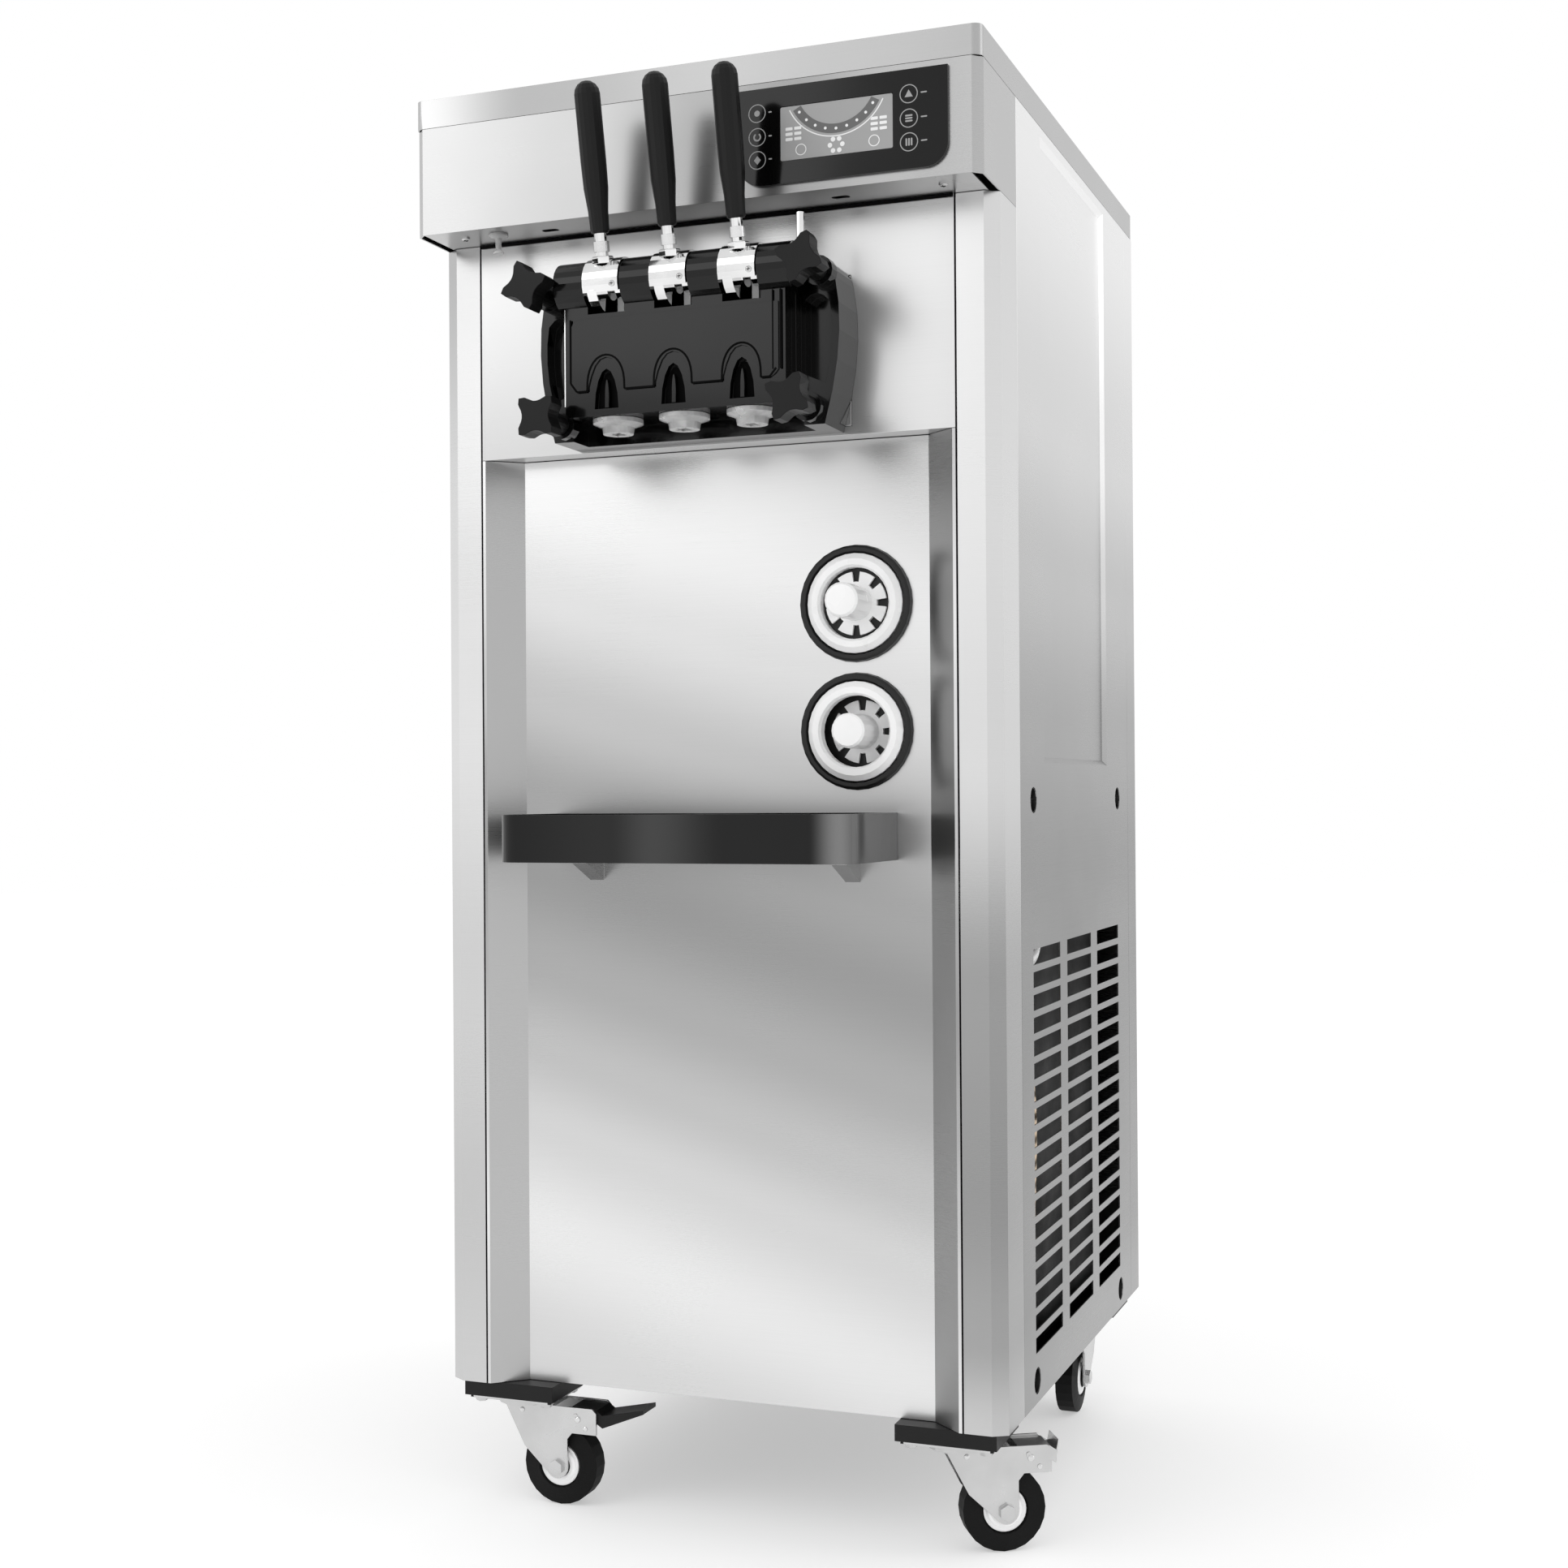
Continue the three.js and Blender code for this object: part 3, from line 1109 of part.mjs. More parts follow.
function nozzleSolid() {
  const top = up(block.bottom) - gap;
  const bottom = top - nozzle.height;
  const body = turned('z', [
    [0, bottom], [nozzle.tipRadius, bottom], [nozzle.tipRadius + 1, bottom + 6],
    [nozzle.flangeRadius, top - nozzle.flangeHeight], [nozzle.flangeRadius, top], [0, top],
  ], [0, 0], 24);
  const star = polygon(Array.from({ length: nozzle.starPoints * 2 }, (_, i) => {
    const radius = i % 2 ? nozzle.starRadius * 0.55 : nozzle.starRadius;
    const angle = (i / (nozzle.starPoints * 2)) * 2 * Math.PI;
    return [radius * Math.cos(angle), radius * Math.sin(angle)];
  }));
  return cut(body, prism('z', star, [bottom - 1, top + 1]));
}

function knobSolid() {
  const outline = Array.from({ length: knob.points }, (_, i) => {
    const angle = (i / knob.points) * 2 * Math.PI;
    const wave = (1 + Math.cos(knob.lobes * angle)) / 2;
    const radius = knob.starInner + (knob.starOuter - knob.starInner) * wave ** knob.sharpness;
    return [radius * Math.cos(angle), radius * Math.sin(angle)];
  });
  const star = prism('y', polygon(outline), [knob.front, knob.back]);
  const collar = rod('y', knob.collarRadius, [knob.back - 1, -boss.depth - gap], [0, 0], 20);
  const bore = rod('y', stud.radius + runningGap, [-stud.reach - 2, 0], [0, 0], 12);
  return cut(join(star, collar), bore);
}

function buildHandlePin() {
  const z = up(bar.z);
  const shaft = rod('x', handlePin.radius, [-bar.halfLength, handlePin.uprightX + 1], [bar.y, z], 16);
  const rise = [z - handlePin.radius, z + handlePin.upright];
  const upright = rod('z', handlePin.radius, rise, [handlePin.uprightX, bar.y], 16);
  addPart('handle_pin', join(shaft, upright), chrome);
}

function buildDispensingHead() {
  addPart('head_block', cut(headBlockCasting(), headBlockCuts()), glossBlack);
  buildHandlePin();
  ['left', 'middle', 'right'].forEach((name, i) => {
    const pivot = groupAt(tapCentres[i], bar.y, up(bar.z));
    addPart(`lever_${name}`, leverSolid(), chrome, pivot);
    const lean = THREE.MathUtils.degToRad(lever.lean);
    const stemFrame = groupAt(
      0, -lever.rodOffset - lever.gripStart * Math.sin(lean), lever.gripStart * Math.cos(lean), pivot,
    );
    stemFrame.rotation.x = lean;
    addPart(`grip_${name}`, gripSolid(), gripBlack, stemFrame);
    const tapAxis = groupAt(tapCentres[i], tap.y, 0);
    addPart(`valve_${name}`, valveSolid(), whitePlastic, tapAxis);
    addPart(`nozzle_${name}`, nozzleSolid(), clearPlastic, tapAxis);
  });
  for (const [name, x, z, turn] of studs) {
    const axis = groupAt(x, 0, up(z));
    axis.rotation.y = THREE.MathUtils.degToRad(turn);
    addPart(`star_knob_${name}`, knobSolid(), gripBlack, axis);
  }
}

buildBaseFrame();
buildSidePanels();
buildCornerPosts();
buildBackPanel();
buildDoor();
buildHeadFascia();
buildUpperFrontPlate();
buildLid();
buildHopperDeck();
buildControls();
buildCasters();
buildDripTray();
buildCupDispensers();
buildFreezingCylinders();
buildBeaters();
buildGearReducers();
buildDrive();
buildCompressor();
buildCondenser();
buildGland();
buildDispensingHead();

// The origin is on the floor, below the middle of the machine's outer box.
machine.updateMatrixWorld(true);
const outerBox = new THREE.Box3().setFromObject(machine, true);
const middle = outerBox.getCenter(new THREE.Vector3());
machine.position.set(-middle.x, -middle.y, -outerBox.min.z);
machine.updateMatrixWorld(true);

export default machine;
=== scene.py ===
"""Looks of the soft ice cream machine: camera, studio, materials and the small pieces
that the CAD frame leaves out. Lengths in the piece builders are millimetres, in the machine's
own frame: x = 0 in the middle, y = 0 at the front of the corner posts, z = 0 on the floor."""
import json
import math

import bmesh
import bpy
from mathutils import Matrix, Vector


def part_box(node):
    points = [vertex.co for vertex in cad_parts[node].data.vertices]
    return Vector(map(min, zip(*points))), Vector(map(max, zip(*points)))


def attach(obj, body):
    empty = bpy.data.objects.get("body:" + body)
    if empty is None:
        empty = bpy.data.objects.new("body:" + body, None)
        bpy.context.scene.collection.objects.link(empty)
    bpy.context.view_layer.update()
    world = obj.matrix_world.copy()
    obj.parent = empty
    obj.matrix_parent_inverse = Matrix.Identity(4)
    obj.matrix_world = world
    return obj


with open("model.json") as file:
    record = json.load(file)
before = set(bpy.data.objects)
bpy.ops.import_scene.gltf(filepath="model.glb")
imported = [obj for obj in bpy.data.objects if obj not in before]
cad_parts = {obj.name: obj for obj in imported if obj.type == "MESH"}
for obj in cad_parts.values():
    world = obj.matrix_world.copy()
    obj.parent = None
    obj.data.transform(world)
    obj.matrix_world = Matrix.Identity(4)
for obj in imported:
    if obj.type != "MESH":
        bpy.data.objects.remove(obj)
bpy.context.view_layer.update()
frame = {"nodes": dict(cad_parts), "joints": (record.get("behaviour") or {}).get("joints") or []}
NODES = frame["nodes"]
JOINTS = {joint["name"]: joint for joint in frame["joints"]}
MM = 0.001

post_low, post_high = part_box("left_corner_post"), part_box("right_corner_post")
ORIGIN = Vector(((post_low[0][0] + post_high[1][0]) / 2, post_low[0][1], 0.0))


def at(x, y, z):
    """A point of the machine's own frame, in the row frame."""
    return ORIGIN + Vector((x, y, z)) * MM


# ------------------------------------------------------------------ camera
LENS_MM = 47.64
SENSOR_MM = 36.0
CAMERA_PLACE = (723.8, -1723.5, 668.5)
YAW, PITCH, ROLL = (math.radians(angle) for angle in (20.76, 0.29, -0.376))


def make_camera():
    level = math.cos(PITCH)
    forward = Vector((-math.sin(YAW) * level, math.cos(YAW) * level, math.sin(PITCH)))
    right = Vector((math.cos(YAW), math.sin(YAW), 0.0))
    up = right.cross(forward)
    x_axis = right * math.cos(ROLL) + up * math.sin(ROLL)
    y_axis = up * math.cos(ROLL) - right * math.sin(ROLL)
    data = bpy.data.cameras.new("camera")
    data.lens = LENS_MM
    data.sensor_width = SENSOR_MM
    camera = bpy.data.objects.new("camera", data)
    turn = Matrix((x_axis, y_axis, -forward)).transposed().to_4x4()
    camera.matrix_world = Matrix.Translation(at(*CAMERA_PLACE)) @ turn
    bpy.context.scene.collection.objects.link(camera)
    bpy.context.scene.camera = camera


# ------------------------------------------------------------------ shaders
class Shader:
    """A Principled material and short calls for its nodes. An input called i2 is socket 2."""

    def __init__(self, name, **values):
        self.material = bpy.data.materials.new(name)
        self.material.use_nodes = True
        self.nodes = self.material.node_tree.nodes
        self.links = self.material.node_tree.links
        self.surface = self.nodes["Principled BSDF"]
        for socket, value in values.items():
            self.surface.inputs[socket.replace("_", " ")].default_value = value

    def node(self, kind, settings=None, **inputs):
        node = self.nodes.new(kind)
        for key, value in (settings or {}).items():
            setattr(node, key, value)
        for key, value in inputs.items():
            numbered = key[0] == "i" and key[1:].isdigit()
            self.feed(node.inputs[int(key[1:]) if numbered else key], value)
        return node

    def feed(self, socket, value):
        if hasattr(value, "is_output"):
            self.links.new(value, socket)
        else:
            socket.default_value = value

    def to_surface(self, socket, output):
        self.links.new(output, self.surface.inputs[socket])

    def place(self, kind="Object"):
        return self.node("ShaderNodeTexCoord").outputs[kind]

    def noise(self, scale, detail=3.0, stretch=(1.0, 1.0, 1.0)):
        mapping = self.node("ShaderNodeMapping", Vector=self.place(), Scale=stretch)
        vector = mapping.outputs["Vector"]
        return self.node("ShaderNodeTexNoise", Vector=vector, Scale=scale, Detail=detail).outputs["Fac"]

    def spread(self, source, low, high):
        """A noise value's usual range of 0.3 to 0.7, stretched to low to high."""
        spread = self.node("ShaderNodeMapRange", Value=source, i1=0.3, i2=0.7, i3=low, i4=high)
        return spread.outputs["Result"]

    def ramp(self, source, stops):
        node = self.node("ShaderNodeValToRGB", Fac=source)
        ramp = node.color_ramp
        ramp.interpolation = "EASE"
        while len(ramp.elements) < len(stops):
            ramp.elements.new(0.5)
        for element, (place, colour) in zip(ramp.elements, stops):
            element.position = place
            element.color = (*colour, 1.0)
        return node.outputs["Color"]

    def bump(self, source, strength, distance=0.001):
        bump = self.node("ShaderNodeBump", Height=source, Strength=strength, Distance=distance)
        self.to_surface("Normal", bump.outputs["Normal"])

    def sums(self, operation, *values):
        """The result of a Math node."""
        inputs = {f"i{index}": value for index, value in enumerate(values)}
        return self.node("ShaderNodeMath", {"operation": operation}, **inputs).outputs["Value"]

    def across_normal(self):
        """How far the surface faces right: 1 on the right side, -1 on the left."""
        return self.node("ShaderNodeSeparateXYZ", Vector=self.place("Normal")).outputs["X"]

    def share(self, source, low, high):
        """0 at low, 1 at high."""
        return self.node("ShaderNodeMapRange", Value=source, i1=low, i2=high).outputs["Result"]

    def along(self, direction):
        """The object coordinate along a direction, in metres."""
        settings = {"operation": "DOT_PRODUCT"}
        return self.node("ShaderNodeVectorMath", settings, i0=self.place(), i1=direction).outputs["Value"]


def grey(level, warmth=0.0):
    """A linear grey from a display level of 0 to 255."""
    value = (level / 255.0) ** 2.2
    return (value * (1.0 + warmth), value, value * (1.0 - warmth))


def painted_fold_shading(shader, tone, fold_shades):
    """Painted shade on folds: faces that turn left or right take two painted levels of light and shade in
    place of the tone.
    """
    facing_left, facing_right = fold_shades
    across = shader.across_normal()
    share = shader.share(shader.sums("ABSOLUTE", across), 0.25, 0.5)
    side = shader.share(across, -0.3, 0.3)
    fold = shader.ramp(side, [(0.3, grey(facing_left)), (0.7, grey(facing_right))])
    return shader.node("ShaderNodeMixRGB", Fac=share, Color1=tone, Color2=fold).outputs["Color"]


UP = (0.0, 0.0, 1.0)
ACROSS = (1.0, 0.0, 0.0)
SIDEWAYS_GRAIN = (6.0, 6.0, 900.0)
UPRIGHT_GRAIN = (6.0, 700.0, 700.0)


def brushed_steel(name, stops, direction=UP, painted_side_shade=0.0, grain=SIDEWAYS_GRAIN, fold_shades=None):
    """Satin steel whose painted reflections and shade drift along a direction: stops are (metres, display
    level).
    """
    shader = Shader(name, Metallic=1.0, Roughness=0.3)
    low, high = stops[0][0], stops[-1][0]
    share = shader.share(shader.along(direction), low, high)
    tone = shader.ramp(share, [((place - low) / (high - low), grey(level)) for place, level in stops])
    if fold_shades:
        tone = painted_fold_shading(shader, tone, fold_shades)
    streaks = shader.noise(2.2, 4.0, grain)
    factor = shader.spread(streaks, 0.985, 1.01)
    # Painted light and shade by facing: the colour grows or falls with how far a face turns right.
    if painted_side_shade:
        facing_shade = shader.sums("MULTIPLY_ADD", shader.across_normal(), painted_side_shade, 1.0)
        factor = shader.sums("MULTIPLY", factor, facing_shade)
    tint = shader.node("ShaderNodeVectorMath", {"operation": "SCALE"}, i0=tone, Scale=factor)
    shader.to_surface("Base Color", tint.outputs["Vector"])
    smudge = shader.spread(shader.noise(5.0, 3.0), 0.26, 0.31)
    shader.to_surface("Roughness", shader.sums("ADD", smudge, shader.spread(streaks, -0.01, 0.02)))
    shader.bump(streaks, 0.007)
    return shader.material


def metal(name, level, roughness, scale=300.0, strength=0.05, warmth=0.0):
    shader = Shader(name, Metallic=1.0, Roughness=roughness)
    cloud = shader.noise(18.0, 4.0)
    stops = [(0.3, grey(level * 0.93, warmth)), (0.7, grey(level, warmth))]
    shader.to_surface("Base Color", shader.ramp(cloud, stops))
    speck = shader.noise(scale, 2.0)
    shader.to_surface("Roughness", shader.spread(cloud, roughness * 0.8, roughness * 1.25))
    shader.bump(speck, strength)
    return shader.material


def plastic(name, level, roughness, specular=0.5, scale=900.0, strength=0.03):
    shader = Shader(name, Specular_IOR_Level=specular)
    cloud = shader.noise(9.0, 4.0)
    stops = [(0.3, grey(level * 0.94)), (0.7, grey(min(level * 1.04, 255)))]
    shader.to_surface("Base Color", shader.ramp(cloud, stops))
    shader.to_surface("Roughness", shader.spread(cloud, roughness * 0.85, roughness * 1.2))
    shader.bump(shader.noise(scale, 2.0), strength, 0.0005)
    return shader.material


def clear_plastic(name):
    shader = Shader(name, Transmission_Weight=0.55, IOR=1.45)
    cloud = shader.noise(60.0, 3.0)
    shader.to_surface("Base Color", shader.ramp(cloud, [(0.3, grey(205)), (0.7, grey(240))]))
    shader.to_surface("Roughness", shader.spread(cloud, 0.1, 0.3))
    shader.bump(shader.noise(220.0, 2.0), 0.1)
    return shader.material


# Painted reflections on the gloss black tray, as (share across, display level).
TRAY_PAINTED_REFLECTIONS = [(0.0, 10), (0.3, 32), (0.42, 60), (0.62, 18), (0.84, 16), (0.92, 118), (0.97, 60), (1.0, 100)]
TRAY_REACH = 0.17


def tray_plastic(name):
    """Gloss black with painted reflections: soft pale bands where the bent sheet would catch light, levels
    are (share across, display level).
    """
    shader = Shader(name, Specular_IOR_Level=0.25, Coat_Weight=0.1, Coat_Roughness=0.05)
    share = shader.share(shader.along(ACROSS), -TRAY_REACH, TRAY_REACH)
    stops = [(place, grey(level)) for place, level in TRAY_PAINTED_REFLECTIONS]
    shader.to_surface("Base Color", shader.ramp(share, stops))
    shader.to_surface("Roughness", shader.spread(shader.noise(12.0), 0.07, 0.13))
    shader.bump(shader.noise(700.0), 0.02, 0.0005)
    return shader.material


def finned(name):
    """Condenser: dark fins packed along y, drawn as stripes whose bright edges are painted light."""
    shader = Shader(name, Metallic=0.8)
    wave = shader.node("ShaderNodeTexWave", {"bands_direction": "Y"}, Vector=shader.place(), Scale=160.0)
    shader.to_surface("Base Color", shader.ramp(wave.outputs["Fac"], [(0.35, grey(10)), (0.9, grey(44))]))
    shader.to_surface("Roughness", shader.spread(shader.noise(20.0), 0.4, 0.6))
    shader.bump(wave.outputs["Fac"], 0.5)
    return shader.material


# Painted reflections and shade on the steel sheets, as (metres along the direction, display level).
DOOR_PAINTED_LIGHT = [(0.10, 210), (0.20, 226), (0.30, 206), (0.37, 188), (0.45, 170), (0.54, 153),
              (0.61, 165), (0.70, 194), (0.80, 219), (0.88, 230), (1.05, 196)]
DOOR_DRIFT = (0.3, 0.0, 1.0)
DOOR_FOLD_SHADES = (162, 180)
LEFT_POST_PAINTED_LIGHT = [(0.118, 200), (0.28, 190), (0.50, 203), (0.72, 222), (0.93, 218), (1.186, 188)]
RIGHT_POST_PAINTED_LIGHT = [(0.118, 196), (0.20, 160), (0.32, 147), (0.50, 156),
                    (0.70, 218), (0.93, 227), (1.186, 226)]
SIDE_PAINTED_LIGHT = [(0.118, 146), (0.22, 122), (0.45, 112), (0.58, 118),
              (0.73, 146), (0.88, 178), (1.02, 206), (1.28, 236)]
FASCIA_PAINTED_LIGHT = [(-0.28, 182), (-0.12, 166), (0.0, 146), (0.08, 138), (0.20, 170), (0.27, 184)]
LID_PAINTED_LIGHT = [(-0.28, 192), (-0.17, 142), (0.06, 164), (0.24, 176), (0.30, 190)]
PLATE_PAINTED_LIGHT = [(-0.25, 196), (-0.1, 190), (0.10, 198), (0.2, 218), (0.25, 212)]


def make_materials():
    return {
        "door": brushed_steel("door_steel", DOOR_PAINTED_LIGHT, DOOR_DRIFT, fold_shades=DOOR_FOLD_SHADES),
        "left_post": brushed_steel("left_post_steel", LEFT_POST_PAINTED_LIGHT),
        "right_post": brushed_steel("right_post_steel", RIGHT_POST_PAINTED_LIGHT, painted_side_shade=-0.15),
        "side": brushed_steel("side_steel", SIDE_PAINTED_LIGHT),
        "back": brushed_steel("back_steel", SIDE_PAINTED_LIGHT),
        "fascia": brushed_steel("fascia_steel", FASCIA_PAINTED_LIGHT, ACROSS),
        "lid": brushed_steel("lid_steel", LID_PAINTED_LIGHT, ACROSS, grain=UPRIGHT_GRAIN),
        "plate": brushed_steel("plate_steel", PLATE_PAINTED_LIGHT, ACROSS),
        "deck": metal("deck_steel", 205, 0.28),
        "polished": metal("polished_steel", 225, 0.18),
        "chrome": metal("chrome_plate", 238, 0.07, strength=0.01),
        "zinc": metal("zinc_plate", 206, 0.24, 420.0, 0.12),
        "casting": metal("grey_casting", 120, 0.6, 160.0, 0.4),
        "copper": metal("copper_pipe", 190, 0.3, warmth=0.25),
        "black_paint": plastic("black_paint", 14, 0.4, 0.3, 500.0, 0.12),
        "head": plastic("head_gloss", 12, 0.12, 0.34, 60.0, 0.01),
        "tray": tray_plastic("tray_gloss"),
        "panel": plastic("panel_gloss", 14, 0.1, 0.3, 40.0, 0.004),
        "grip": plastic("grip_satin", 16, 0.42, 0.25, 1100.0, 0.08),
        "rubber": plastic("tyre_rubber", 14, 0.6, 0.2, 700.0, 0.3),
        "black": plastic("black_plastic", 22, 0.4, 0.4, 900.0, 0.08),
        "white": plastic("white_plastic", 252, 0.28, 0.5, 500.0, 0.02),
        "clear": clear_plastic("clear_plastic"),
        "fins": finned("condenser_fins"),
        # Painted shade: dark strips and layers for the shade in slots, grooves, recesses and seams.
        "dark": plastic("painted_recess_shade", 10, 0.8, 0.1),
        "screen": plastic("screen_grey", 148, 0.3, 0.4, 300.0, 0.01),
        "screen_light": plastic("screen_light", 222, 0.35, 0.3),
        "screen_dark": plastic("screen_dark", 96, 0.35, 0.3),
        "mark": plastic("panel_mark", 150, 0.4, 0.3),
    }


NODE_LOOKS = {
    "door": ["front_door"], "left_post": ["left_corner_post"], "right_post": ["right_corner_post"],
    "side": ["left_side_panel", "right_side_panel"], "back": ["back_panel"], "fascia": ["head_fascia"],
    "lid": ["lid"], "plate": ["upper_front_plate"], "deck": ["hopper_deck"],
    "polished": ["freezing_cylinders", "beater_left", "beater_right"],
    "chrome": ["lever_left", "lever_middle", "lever_right", "handle_pin"],
    "zinc": ["caster_fork_", "brake_pedal_front_right"],
    "casting": ["gear_reducers", "reducer_pulley_", "motor_pulley", "drive_motor"],
    "black_paint": ["base_frame", "compressor", "condenser_fan", "brake_pedal_front_left"],
    "head": ["head_block"], "tray": ["drip_tray"], "panel": ["control_panel"],
    "grip": ["grip_", "star_knob_"], "rubber": ["caster_wheel_", "drive_belt"],
    "black": ["cup_tube_", "cord_gland"], "white": ["cup_collar_", "cup_pusher_", "valve_"],
    "clear": ["nozzle_"], "fins": ["condenser"],
}


def look_of(node):
    """The longest entry that the node's name starts with."""
    entries = [(start, look) for look, starts in NODE_LOOKS.items() for start in starts]
    return max((len(start), look) for start, look in entries if node.startswith(start))[1]


SOFT_EDGE = 0.0003
CAST_EDGE = 0.0006
WELD_GAP = 0.00002


def dress_nodes():
    """Gives every CAD node its material, welds its seams and softens its edges (lengths in metres)."""
    for name, node in NODES.items():
        material = LOOKS[look_of(name)]
        for slot in node.material_slots:
            slot.material = material
        weld = node.modifiers.new("weld", "WELD")
        weld.merge_threshold = WELD_GAP
        bevel = node.modifiers.new("soft_edges", "BEVEL")
        bevel.width = CAST_EDGE if look_of(name) in ("head", "grip", "tray") else SOFT_EDGE
        bevel.segments = 2
        bevel.limit_method = "ANGLE"
        bevel.angle_limit = math.radians(40.0)


# ------------------------------------------------------------------ piece builders
SMOOTH_ANGLE = math.radians(35.0)
ON_AXIS = 1e-6


def finish_piece(name, mesh_data, look, body, bevel=0.0):
    """Makes an object of a bmesh, with its look and the body that it rides on."""
    bmesh.ops.recalc_face_normals(mesh_data, faces=mesh_data.faces)
    mesh = bpy.data.meshes.new(name)
    mesh_data.to_mesh(mesh)
    mesh_data.free()
    mesh.polygons.foreach_set("use_smooth", [True] * len(mesh.polygons))
    mesh.set_sharp_from_angle(angle=SMOOTH_ANGLE)
    piece = bpy.data.objects.new(name, mesh)
    bpy.context.scene.collection.objects.link(piece)
    mesh.materials.append(LOOKS[look])
    if bevel:
        soft = piece.modifiers.new("soft_edges", "BEVEL")
        soft.width = bevel * MM
        soft.segments = 2
        soft.limit_method = "ANGLE"
        soft.angle_limit = math.radians(50.0)
    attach(piece, body)


def frame_along(axis, origin):
    """A matrix whose local z is the axis, at an origin in the row frame."""
    z_axis = Vector(axis).normalized()
    helper = Vector((0.0, 0.0, 1.0)) if abs(z_axis.z) < 0.9 else Vector((1.0, 0.0, 0.0))
    x_axis = helper.cross(z_axis).normalized()
    y_axis = z_axis.cross(x_axis)
    turn = Matrix((x_axis, y_axis, z_axis)).transposed().to_4x4()
    return Matrix.Translation(origin) @ turn


def add_lathe(data, profile, place, sides=32):
    """Adds a turned body: profile points are (radius, height) in mm, closed on itself or on the axis."""
    rings = []
    for radius, height in profile:
        if radius < ON_AXIS:
            rings.append([data.verts.new(place @ (Vector((0.0, 0.0, height)) * MM))])
            continue
        turns = [2.0 * math.pi * step / sides for step in range(sides)]
        points = [Vector((radius * math.cos(turn), radius * math.sin(turn), height)) for turn in turns]
        rings.append([data.verts.new(place @ (point * MM)) for point in points])
    closed = profile[0][0] > ON_AXIS
    pairs = list(zip(rings, rings[1:])) + ([(rings[-1], rings[0])] if closed else [])
    for first, second in pairs:
        for step in range(sides):
            after = (step + 1) % sides
            corners = [first[step % len(first)], first[after % len(first)],
                       second[after % len(second)], second[step % len(second)]]
            unique = list(dict.fromkeys(corners))
            if len(unique) > 2:
                data.faces.new(unique)


def add_prism(data, outline, place, depth):
    """Adds a flat shape of (x, y) points in mm, raised by depth along the place's z."""
    low = [data.verts.new(place @ (Vector((x, y, 0.0)) * MM)) for x, y in outline]
    high = [data.verts.new(place @ (Vector((x, y, depth)) * MM)) for x, y in outline]
    data.faces.new(low)
    data.faces.new(high)
    for step in range(len(outline)):
        after = (step + 1) % len(outline)
        data.faces.new([low[step], low[after], high[after], high[step]])


def facing_front(y):
    """Local x to the machine's right, local y up, local z out of the front, at depth y."""
    turn = Matrix(((1.0, 0.0, 0.0), (0.0, 0.0, -1.0), (0.0, 1.0, 0.0))).to_4x4()
    return Matrix.Translation(at(0, y, 0)) @ turn


def circle(radius, centre, count, start=0.0, end=360.0):
    """Points on a circle or an arc, with angles in degrees from the x direction."""
    steps = range(count if abs(end - start) >= 360.0 else count + 1)
    angles = [math.radians(start + (end - start) * step / count) for step in steps]
    x, y = centre
    return [(x + radius * math.cos(angle), y + radius * math.sin(angle)) for angle in angles]


def band(inner, outer, centre, start, end, count=24):
    """The outline of part of a ring."""
    return circle(outer, centre, count, start, end) + circle(inner, centre, count, start, end)[::-1]


def rounded(x0, x1, z0, z1, radius, count=5):
    """A rectangle with round corners."""
    corners = [((x1 - radius, z0 + radius), -90.0), ((x1 - radius, z1 - radius), 0.0),
               ((x0 + radius, z1 - radius), 90.0), ((x0 + radius, z0 + radius), 180.0)]
    arcs = [circle(radius, centre, count, start, start + 90.0) for centre, start in corners]
    return [point for arc in arcs for point in arc]


def flat_piece(name, outlines, y, depth, look, bevel=0.0):
    """Flat shapes on the front of the cabinet, raised by depth from the plane at y."""
    data = bmesh.new()
    for outline in outlines:
        add_prism(data, outline, facing_front(y), depth)
    finish_piece(name, data, look, "cabinet", bevel)


# ------------------------------------------------------------------ touch panel
PANEL_FACE = -56.3
SCREEN = (92.0, 194.0, 1213.0, 1260.0)
SCREEN_EDGE = 0.4
SCREEN_FACE = PANEL_FACE + 0.4
GLASS_DEPTH = 0.35
PRINT_DEPTH = 0.15
ARC_RAISE = 16.0
FLOWER_RADIUS = 5.6
LEFT_MARK_X, RIGHT_MARK_X = 71.0, 208.0
MARK_HEIGHTS = (1257.0, 1236.5, 1216.5)
MARKS_LEFT = [(LEFT_MARK_X, z) for z in MARK_HEIGHTS]
MARKS_RIGHT = [(RIGHT_MARK_X, z) for z in MARK_HEIGHTS]
RULE_LOWS = (-3.0, -0.7, 1.6)


def screen_flower(x, z):
    """Six small discs in a ring."""
    turns = [math.radians(60 * step) for step in range(6)]
    centres = [(x + FLOWER_RADIUS * math.cos(turn), z + FLOWER_RADIUS * math.sin(turn)) for turn in turns]
    return [circle(2.1, centre, 12) for centre in centres]


def screen_rows(x0, x1, z0):
    """Four columns of three short bars, in place of the wording."""
    columns = (x0 + 5, x0 + 13, x1 - 20, x1 - 12)
    heights = (z0 + 17, z0 + 21.5, z0 + 26)
    return [rounded(x, x + 6.5, z, z + 2.6, 0.6, 2) for x in columns for z in heights]


def arc_ticks(x, z):
    """Nine dots along the arc at the top of the screen."""
    turns = [math.radians(214 + 14 * step) for step in range(9)]
    return [circle(1.3, (x + 40 * math.cos(turn), z + 40 * math.sin(turn)), 10) for turn in turns]


